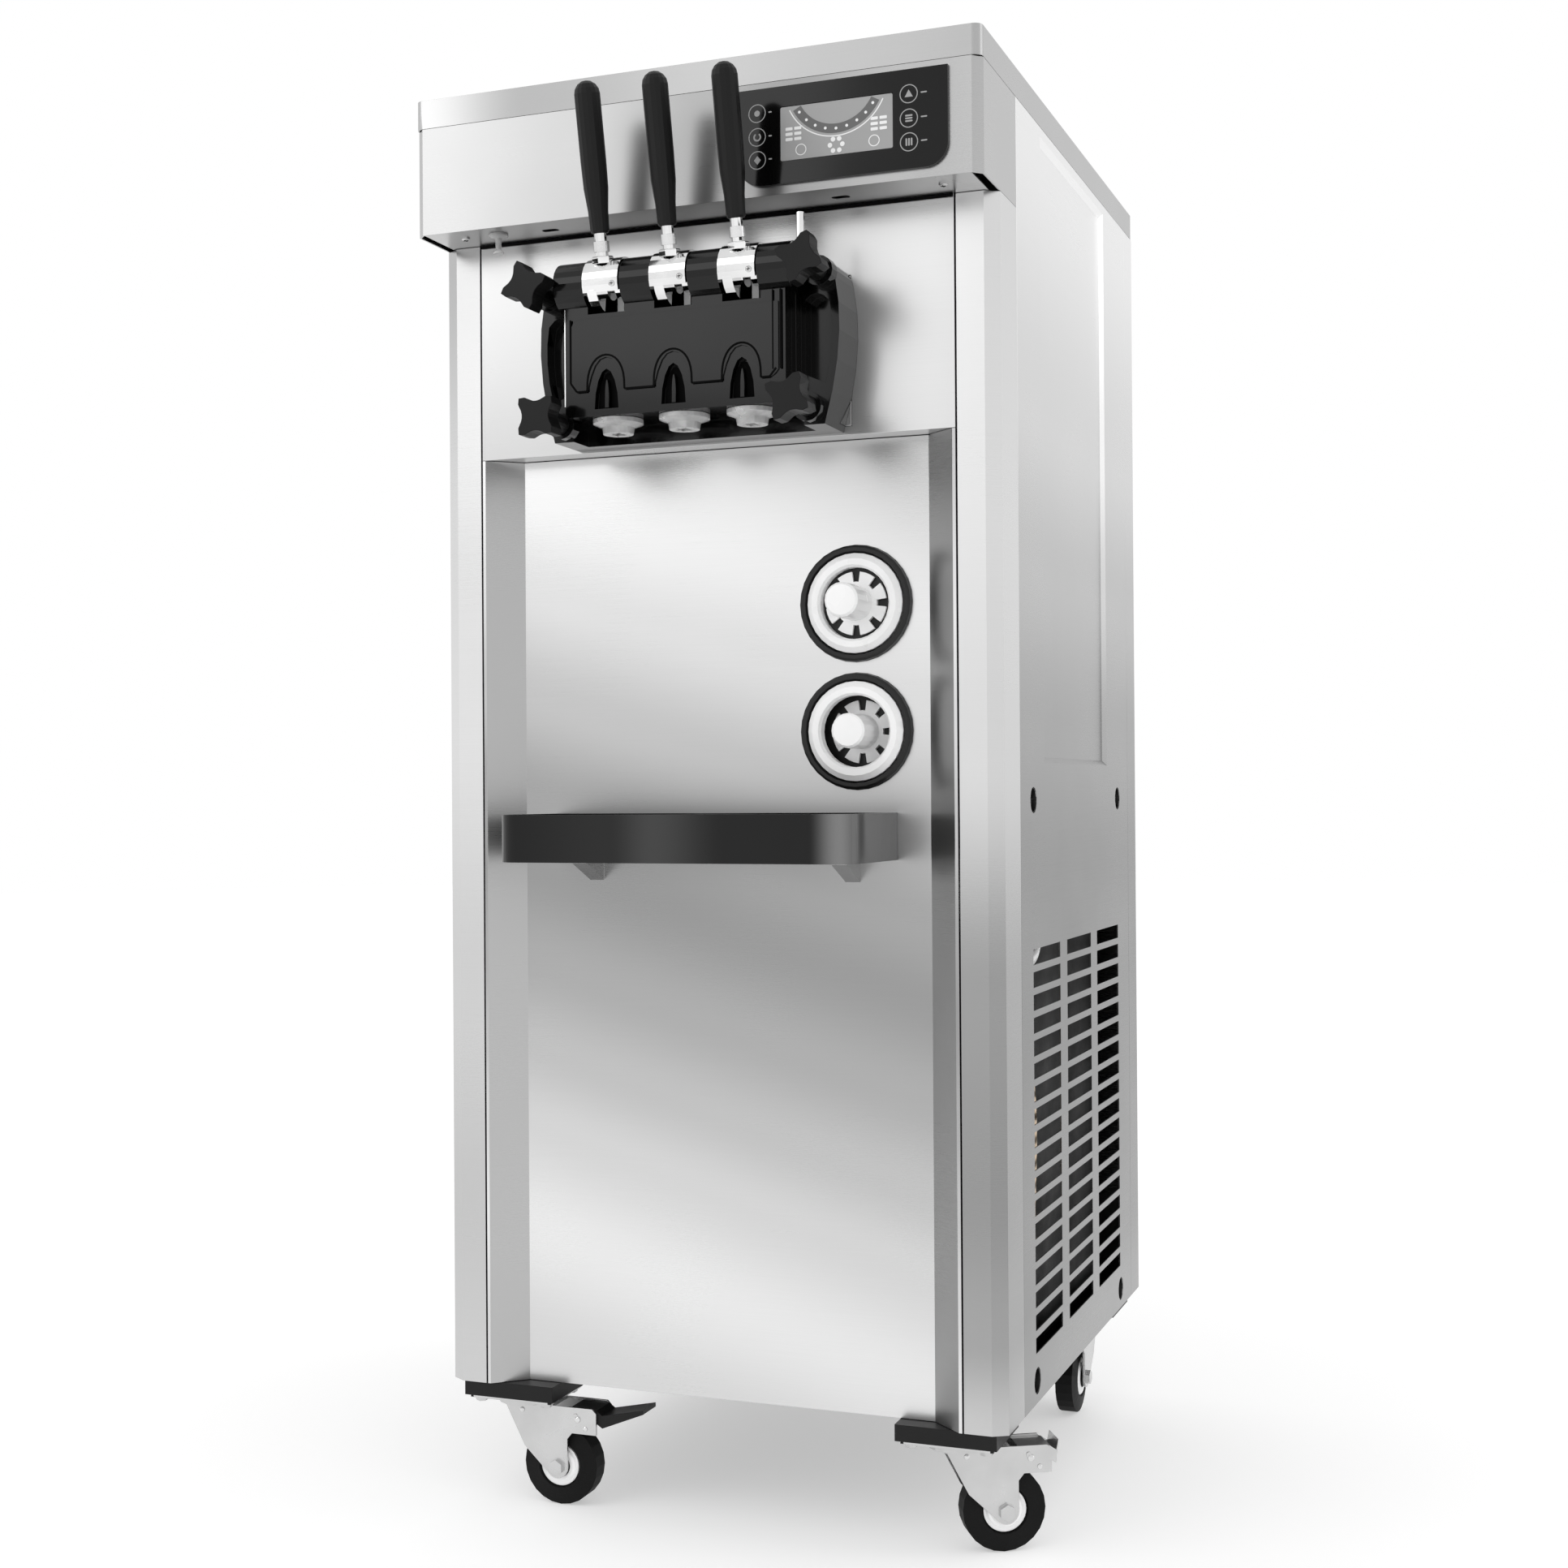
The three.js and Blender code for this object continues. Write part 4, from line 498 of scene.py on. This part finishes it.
def make_screen():
    x0, x1, z0, z1 = SCREEN
    pane = rounded(x0 + SCREEN_EDGE, x1 - SCREEN_EDGE, z0 + SCREEN_EDGE, z1 - SCREEN_EDGE, 1.5)
    flat_piece("screen", [pane], PANEL_FACE + 0.75, GLASS_DEPTH, "screen")
    middle, top = (x0 + x1) / 2, z1 + ARC_RAISE
    arc = band(36.0, 44.0, (middle, top), 208.0, 332.0)
    arc_line = band(46.0, 47.0, (middle, top), 205.0, 335.0)
    rings = [band(4.2, 5.0, (x, z0 + 8.5), 0.0, 359.0) for x in (x0 + 19, x1 - 17)]
    light = [arc_line] + screen_flower(middle, z0 + 9) + screen_rows(x0, x1, z0) + rings
    flat_piece("screen_light_marks", light, SCREEN_FACE, PRINT_DEPTH, "screen_light")
    flat_piece("screen_arc", [arc], SCREEN_FACE, 0.12, "screen_dark")
    ticks = arc_ticks(middle, top)
    flat_piece("screen_arc_ticks", ticks, SCREEN_FACE - 0.05, PRINT_DEPTH, "screen_light")


def make_touch_marks():
    """A ring with a plain sign in it at each touch place, and a short rule beside it."""
    outlines = [band(7.2, 8.0, spot, 0.0, 359.2, 32) for spot in MARKS_LEFT + MARKS_RIGHT]
    outlines += [rounded(x + 10.5, x + 16.0, z - 0.6, z + 0.6, 0.5, 2) for x, z in MARKS_RIGHT]
    outlines += [rounded(x + 10.5, x + 13.5, z - 0.6, z + 0.6, 0.5, 2) for x, z in MARKS_LEFT]
    x, z = MARKS_RIGHT[0]
    outlines.append([(x - 3.6, z - 2.6), (x + 3.6, z - 2.6), (x, z + 3.6)])
    x, z = MARKS_RIGHT[1]
    outlines += [rounded(x - 3.2, x + 3.2, z + low, z + low + 1.4, 0.5, 2) for low in RULE_LOWS]
    x, z = MARKS_RIGHT[2]
    outlines += [rounded(x + low, x + low + 1.4, z - 3.2, z + 3.2, 0.5, 2) for low in RULE_LOWS]
    outlines.append(circle(2.6, MARKS_LEFT[0], 16))
    outlines.append(band(2.2, 3.6, MARKS_LEFT[1], 120.0, 420.0))
    x, z = MARKS_LEFT[2]
    outlines.append([(x, z - 3.8), (x + 3.2, z), (x, z + 3.8), (x - 3.2, z)])
    flat_piece("touch_marks", outlines, PANEL_FACE, 0.12, "mark")


# ------------------------------------------------------------------ screws and small fittings
def screw(name, place, outward, radius, body):
    """A domed zinc screw head with a dark cross of painted shade for its slot."""
    data = bmesh.new()
    pan = [(0.0, 0.0), (1.0, 0.0), (1.0, 0.28), (0.72, 0.5), (0.0, 0.58)]
    spot = frame_along(outward, place)
    add_lathe(data, [(radius * across, radius * height) for across, height in pan], spot, 20)
    finish_piece(name, data, "zinc", body)
    cross = bmesh.new()
    reach, thick = radius * 0.55, radius * 0.11
    lift = spot @ Matrix.Translation((0.0, 0.0, radius * 0.5 * MM))
    quarter = [(reach, thick), (thick, thick), (thick, reach)]
    half = quarter + [(-x, y) for x, y in quarter[::-1]]
    plus = half + [(x, -y) for x, y in half[::-1]]
    add_prism(cross, plus, lift, radius * 0.1)
    finish_piece(name + "_cross_shade", cross, "dark", body)


CUP_PLACES = [(y, z) for y in (110.0, 480.0) for z in (138.0, 662.0)]
CUP_FLOOR = 264.2
CUP_LINER = [(6.0, 0.0), (11.6, 0.0), (11.6, 5.0), (10.8, 5.0), (10.8, 0.7), (6.0, 0.7)]


def make_panel_screws():
    for side, name in ((1.0, "right"), (-1.0, "left")):
        for index, (y, z) in enumerate(CUP_PLACES):
            data = bmesh.new()
            floor = at(side * CUP_FLOOR, y, z)
            add_lathe(data, CUP_LINER, frame_along((side, 0, 0), floor), 28)
            finish_piece(f"{name}_cup_liner_{index}", data, "black", "cabinet")
            screw(f"{name}_panel_screw_{index}", floor, (side, 0, 0), 5.6, "cabinet")


BACK_FACE = 580.0
BACK_SCREWS = [(x, z) for x in (-245.0, 245.0) for z in (150.0, 480.0, 820.0, 1200.0)]


def make_back_screws():
    for index, (x, z) in enumerate(BACK_SCREWS):
        screw(f"back_screw_{index}", at(x, BACK_FACE, z), (0, 1, 0), 4.5, "cabinet")


UNDERSIDE = 1186.0
UNDERSIDE_LINE = -30.0
BUMPER = [(0.0, 0.0), (9.0, 0.0), (9.0, 2.0), (3.0, 4.0), (2.6, 14.0), (5.0, 16.0), (5.0, 18.0), (0.0, 19.0)]


def make_fascia_fittings():
    """The clear bumper and the two screws under the head box."""
    data = bmesh.new()
    add_lathe(data, BUMPER, frame_along((0, 0, -1), at(-196.0, UNDERSIDE_LINE, UNDERSIDE)), 20)
    finish_piece("underside_bumper", data, "clear", "cabinet", 0.2)
    for index, x in enumerate((-230.0, 230.0)):
        screw(f"underside_screw_{index}", at(x, UNDERSIDE_LINE, UNDERSIDE), (0, 0, -1), 4.0, "cabinet")


# ------------------------------------------------------------------ dispensing head details
TAPS = ((-64.0, "left"), (0.0, "middle"), (64.0, "right"))
PIVOT = (-68.0, 1118.0)


def make_head_highlight_and_groove_shade():
    """A thin polished strip down the head's left edge as a painted highlight, and two dark strips of painted
    shade for the grooves down its right end.
    """
    edge = [(-104.6, 1012.0), (-103.6, 1012.0), (-103.6, 1098.0), (-104.6, 1098.0)]
    flat_piece("head_edge_highlight", [edge], -76.0, 2.4, "polished")
    bands = [rounded(99.4, 101.2, 1030.0, 1098.0, 0.8, 3), rounded(92.5, 93.6, 1030.0, 1098.0, 0.5, 3)]
    flat_piece("head_groove_shade", bands, -79.2, 0.6, "dark")


def ribbon(points, width):
    """Outlines of a narrow band along a line of (x, z) points."""
    outlines = []
    for (x0, z0), (x1, z1) in zip(points, points[1:]):
        length = math.hypot(x1 - x0, z1 - z0)
        side = ((z0 - z1) / length * width / 2, (x1 - x0) / length * width / 2)
        outlines.append([(x0 + side[0], z0 + side[1]), (x0 - side[0], z0 - side[1]),
                         (x1 - side[0], z1 - side[1]), (x1 + side[0], z1 + side[1])])
    return outlines


def arch(centre, bottom, half, rise, count=18):
    """An arch of (x, z) points from its left foot to its right foot."""
    points = []
    for step in range(count + 1):
        turn = math.pi * step / count
        points.append((centre - half * math.cos(turn), bottom + rise * math.sin(turn) ** 0.75))
    return points


ARCH_HALF, ARCH_RISE, ARCH_FOOT = 18.0, 31.0, 1024.0
PANEL_FRONT = -79.5
RECESS_FLOOR = -71.0
BULLET_HALF, BULLET_RISE = 10.6, 31.5
RIDGE_HALF, RIDGE_RISE = 2.2, 25.0
RECESS_FOOT, FOOT_LEDGE = 1009.0, 0.4


def recess_outline(x, half, rise, count):
    """An upright outline with a round top, standing on the foot of a tap's recess."""
    foot = RECESS_FOOT - FOOT_LEDGE
    return [(x + half, foot)] + arch(x, RECESS_FOOT, -half, rise, count) + [(x - half, foot)]


def make_head_grooves():
    # The arch line and the bullets are dark layers of painted shade in the groove and the tap recesses; the
    # ridges are real shapes.
    line = [(-98.0, 1088.0), (-98.0, 1032.0), (-92.0, ARCH_FOOT)]
    for x, _ in TAPS:
        line += arch(x, ARCH_FOOT, ARCH_HALF, ARCH_RISE)
    line += [(90.0, ARCH_FOOT), (96.0, 1031.0)]
    flat_piece("head_arch_groove_shade", ribbon(line, 1.7), PANEL_FRONT, 0.35, "dark")
    bullets = [recess_outline(x, BULLET_HALF, BULLET_RISE, 14) for x, _ in TAPS]
    ridges = [recess_outline(x, RIDGE_HALF, RIDGE_RISE, 8) for x, _ in TAPS]
    flat_piece("head_bullet_shade", bullets, RECESS_FLOOR, 0.4, "dark")
    flat_piece("head_ridges", ridges, RECESS_FLOOR, 6.5, "head", bevel=0.5)


def make_seam_shade():
    # A dark strip of painted shade along the seam under the head box.
    strip = [(-230.0, 1183.2), (230.0, 1183.2), (230.0, 1185.6), (-230.0, 1185.6)]
    flat_piece("fascia_seam_shade", [strip], 0.0, 1.6, "dark")


STEM_TILT = math.radians(12.0)
STEM_NUT = [(5.7, 0.0), (9.0, 0.0), (9.6, 1.0), (9.6, 5.0), (8.6, 6.2), (5.7, 6.2)]
STEM_SLEEVE = [(5.7, 0.0), (7.0, 0.0), (7.0, 9.0), (5.7, 9.0)]


def stem_ring(name, profile, place, sides, look, body, bevel):
    """A ring around a lever's stem, square to it."""
    data = bmesh.new()
    add_lathe(data, profile, frame_along((0, -math.sin(STEM_TILT), math.cos(STEM_TILT)), place), sides)
    finish_piece(name, data, look, body, bevel)


def make_lever_fittings():
    y, z = PIVOT
    for x, name in TAPS:
        body = f"tap_lever_{name}"
        nut, sleeve = at(x, y - 15.2, z + 16.0), at(x, y - 17.4, z + 25.4)
        stem_ring(f"stem_nut_{name}", STEM_NUT, nut, 6, "chrome", body, 0.3)
        stem_ring(f"stem_sleeve_{name}", STEM_SLEEVE, sleeve, 24, "polished", body, 0.2)
        screw(f"lever_screw_{name}", at(x + 12.0, y - 23.0, z - 4.0), (0, -1, 0), 2.8, body)


PUSHER_RING = [(19.7, 0.0), (40.5, 0.0), (40.5, 0.8), (19.7, 0.8)]
DISC_DEPTH = 4.2


def make_cup_shadows():
    """Black rings behind the petals of the cup pushers."""
    for name in ("upper", "lower"):
        low, high = (Vector(corner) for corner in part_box(f"cup_pusher_{name}"))
        centre = Vector(((low.x + high.x) / 2, high.y - DISC_DEPTH * MM, (low.z + high.z) / 2))
        data = bmesh.new()
        add_lathe(data, PUSHER_RING, frame_along((0, -1, 0), centre), 48)
        finish_piece(f"pusher_ring_{name}", data, "black", f"cup_pusher_{name}")


# ------------------------------------------------------------------ casters
CASTER_NAMES = ("front_left", "front_right", "rear_left", "rear_right")
HUB = [(11.2, 8.1), (19.4, 8.1), (19.4, 10.6), (18.0, 11.6), (15.5, 10.4), (13.5, 12.2), (11.2, 12.4)]
PLATE_BASE = 99.8
BOLT = [(0.0, 0.0), (6.0, 0.0), (6.0, 3.0), (5.2, 4.0), (0.0, 4.0)]
BOLT_PLACES = [(x, y) for x in (-34.0, 34.0) for y in (-26.0, 26.0)]
RIVETS = ((62.0, 84.0, 3.2), (70.0, 76.0, 2.4), (4.0, 88.0, 2.6))
RIVET_DOME = [(0.0, 0.0), (1.0, 0.0), (0.9, 0.4), (0.5, 0.7), (0.0, 0.75)]
FORK_FACE = 17.4


def make_wheel_hubs(name):
    roll = JOINTS[f"wheel_roll_{name}"]
    centre, axis = Vector(roll["pos_m"]), Vector(roll["axis"])
    data = bmesh.new()
    for side in (-1.0, 1.0):
        add_lathe(data, HUB, frame_along(axis * side, centre), 36)
    finish_piece(f"wheel_hub_{name}", data, "white", f"caster_wheel_{name}")


def make_caster_plate(name):
    pin = Vector(JOINTS[f"caster_swivel_{name}"]["pos_m"])
    base = Vector((pin.x, pin.y, PLATE_BASE * MM))
    data = bmesh.new()
    add_prism(data, rounded(-42.6, 42.6, -34.6, 34.6, 6.0), Matrix.Translation(base), 3.0)
    finish_piece(f"caster_plate_{name}", data, "zinc", "cabinet", 0.3)
    bolts = bmesh.new()
    for x, y in BOLT_PLACES:
        add_lathe(bolts, BOLT, frame_along((0, 0, -1), base + Vector((x, y, 0.0)) * MM), 6)
    finish_piece(f"caster_bolts_{name}", bolts, "zinc", "cabinet")


def make_fork_rivets(name):
    """Domed rivets on both cheeks of a fork: RIVETS holds (reach from the pin, height, radius)."""
    pin = Vector(JOINTS[f"caster_swivel_{name}"]["pos_m"])
    roll = JOINTS[f"wheel_roll_{name}"]
    across = Vector(roll["axis"]).normalized()
    ahead = Vector(roll["pos_m"]) - pin
    ahead.z = 0.0
    ahead.normalize()
    data = bmesh.new()
    for side in (-1.0, 1.0):
        for reach, height, radius in RIVETS:
            spot = Vector((pin.x, pin.y, height * MM)) + (ahead * reach + across * side * FORK_FACE) * MM
            dome = [(radius * wide, radius * high) for wide, high in RIVET_DOME]
            add_lathe(data, dome, frame_along(across * side, spot), 16)
    finish_piece(f"fork_rivets_{name}", data, "polished", f"caster_fork_{name}")


def make_casters():
    for name in CASTER_NAMES:
        make_wheel_hubs(name)
        make_caster_plate(name)
        make_fork_rivets(name)


# ------------------------------------------------------------------ behind the vents
SUCTION_LINE = [(254, 96, 300), (254, 100, 420), (254, 118, 500), (254, 170, 522), (250, 200, 560)]
LIQUID_LINE = [(255, 150, 262), (255, 158, 380), (255, 130, 455), (255, 150, 500)]
LEFT_LINE = [(-254, 180, 260), (-254, 170, 420), (-254, 200, 520)]


def pipe(name, points, radius, look):
    """A round pipe through points of the machine's own frame."""
    curve = bpy.data.curves.new(name, "CURVE")
    curve.dimensions = "3D"
    curve.bevel_depth = radius * MM
    curve.bevel_resolution = 4
    curve.use_fill_caps = True
    spline = curve.splines.new("BEZIER")
    spline.bezier_points.add(len(points) - 1)
    for knot, point in zip(spline.bezier_points, points):
        knot.co = at(*point)
        knot.handle_left_type = knot.handle_right_type = "AUTO"
    piece = bpy.data.objects.new(name, curve)
    bpy.context.scene.collection.objects.link(piece)
    curve.materials.append(LOOKS[look])
    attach(piece, "cabinet")


def make_pipes():
    pipe("suction_line", SUCTION_LINE, 6.0, "white")
    pipe("liquid_line", LIQUID_LINE, 3.5, "copper")
    pipe("left_line", LEFT_LINE, 5.0, "copper")


# ------------------------------------------------------------------ studio
FLOOR_RADIUS, FLOOR_DEPTH, FLOOR_TOP = 14000.0, 20.0, -0.5
FLOOR_GLOW = 0.42
BACKDROP_STOPS = ((0.45, 0.92), (0.53, 0.98), (0.7, 0.92), (1.0, 0.86))


def area_light(name, place, target, size, power):
    data = bpy.data.lights.new(name, "AREA")
    data.shape = "RECTANGLE"
    data.size, data.size_y = size
    data.energy = power
    light = bpy.data.objects.new(name, data)
    position = at(*place)
    facing = (at(*target) - position).to_track_quat("-Z", "Y").to_matrix().to_4x4()
    light.matrix_world = Matrix.Translation(position) @ facing
    bpy.context.scene.collection.objects.link(light)


def make_floor():
    """A pale disc far wider than the view, just under the wheels."""
    data = bmesh.new()
    disc = [(0.0, 0.0), (FLOOR_RADIUS, 0.0), (FLOOR_RADIUS, -FLOOR_DEPTH), (0.0, -FLOOR_DEPTH)]
    add_lathe(data, disc, Matrix.Translation(at(0, 0, FLOOR_TOP)), 96)
    mesh = bpy.data.meshes.new("studio_floor")
    bmesh.ops.recalc_face_normals(data, faces=data.faces)
    data.to_mesh(mesh)
    data.free()
    floor = bpy.data.objects.new("studio_floor", mesh)
    bpy.context.scene.collection.objects.link(floor)
    shader = Shader("pale_floor", Roughness=0.8, Specular_IOR_Level=0.0, Emission_Strength=FLOOR_GLOW)
    shader.surface.inputs["Emission Color"].default_value = (1.0, 1.0, 1.0, 1.0)
    shader.to_surface("Base Color", shader.ramp(shader.noise(0.6), [(0.3, grey(214)), (0.7, grey(218))]))
    mesh.materials.append(shader.material)


def make_world():
    """Soft light from all around, brightest at the horizon."""
    world = bpy.data.worlds.new("studio")
    bpy.context.scene.world = world
    world.use_nodes = True
    nodes, links = world.node_tree.nodes, world.node_tree.links
    backdrop = nodes["Background"]
    coordinate = nodes.new("ShaderNodeTexCoord")
    split = nodes.new("ShaderNodeSeparateXYZ")
    ramp = nodes.new("ShaderNodeValToRGB")
    shift = nodes.new("ShaderNodeMath")
    shift.operation = "MULTIPLY_ADD"
    shift.inputs[1].default_value = 0.5
    shift.inputs[2].default_value = 0.5
    links.new(coordinate.outputs["Generated"], split.inputs["Vector"])
    links.new(split.outputs["Z"], shift.inputs[0])
    links.new(shift.outputs["Value"], ramp.inputs["Fac"])
    links.new(ramp.outputs["Color"], backdrop.inputs["Color"])
    ramp.color_ramp.elements.new(0.6)
    ramp.color_ramp.elements.new(0.8)
    for element, (place, level) in zip(ramp.color_ramp.elements, BACKDROP_STOPS):
        element.position = place
        element.color = (level, level, level, 1.0)
    show_white_backdrop(world)


def show_white_backdrop(world):
    """The camera sees plain white where reflections see the soft studio."""
    nodes, links = world.node_tree.nodes, world.node_tree.links
    white = nodes.new("ShaderNodeBackground")
    white.inputs["Color"].default_value = (1.0, 1.0, 1.0, 1.0)
    path = nodes.new("ShaderNodeLightPath")
    mix = nodes.new("ShaderNodeMixShader")
    links.new(path.outputs["Is Camera Ray"], mix.inputs["Fac"])
    links.new(nodes["Background"].outputs["Background"], mix.inputs[1])
    links.new(white.outputs["Background"], mix.inputs[2])
    links.new(mix.outputs["Shader"], nodes["World Output"].inputs["Surface"])


def make_studio():
    bpy.context.scene.view_settings.view_transform = "Standard"
    make_world()
    make_floor()
    area_light("key", (-1500, -2200, 2400), (0, 200, 700), (1.8, 1.8), 12)
    area_light("right_softbox", (2600, 900, 1500), (270, 300, 800), (1.4, 2.4), 8)


make_camera()
LOOKS = make_materials()
dress_nodes()
make_screen()
make_touch_marks()
make_panel_screws()
make_back_screws()
make_fascia_fittings()
make_head_highlight_and_groove_shade()
make_head_grooves()
make_seam_shade()
make_cup_shadows()
make_lever_fittings()
make_casters()
make_pipes()
make_studio()
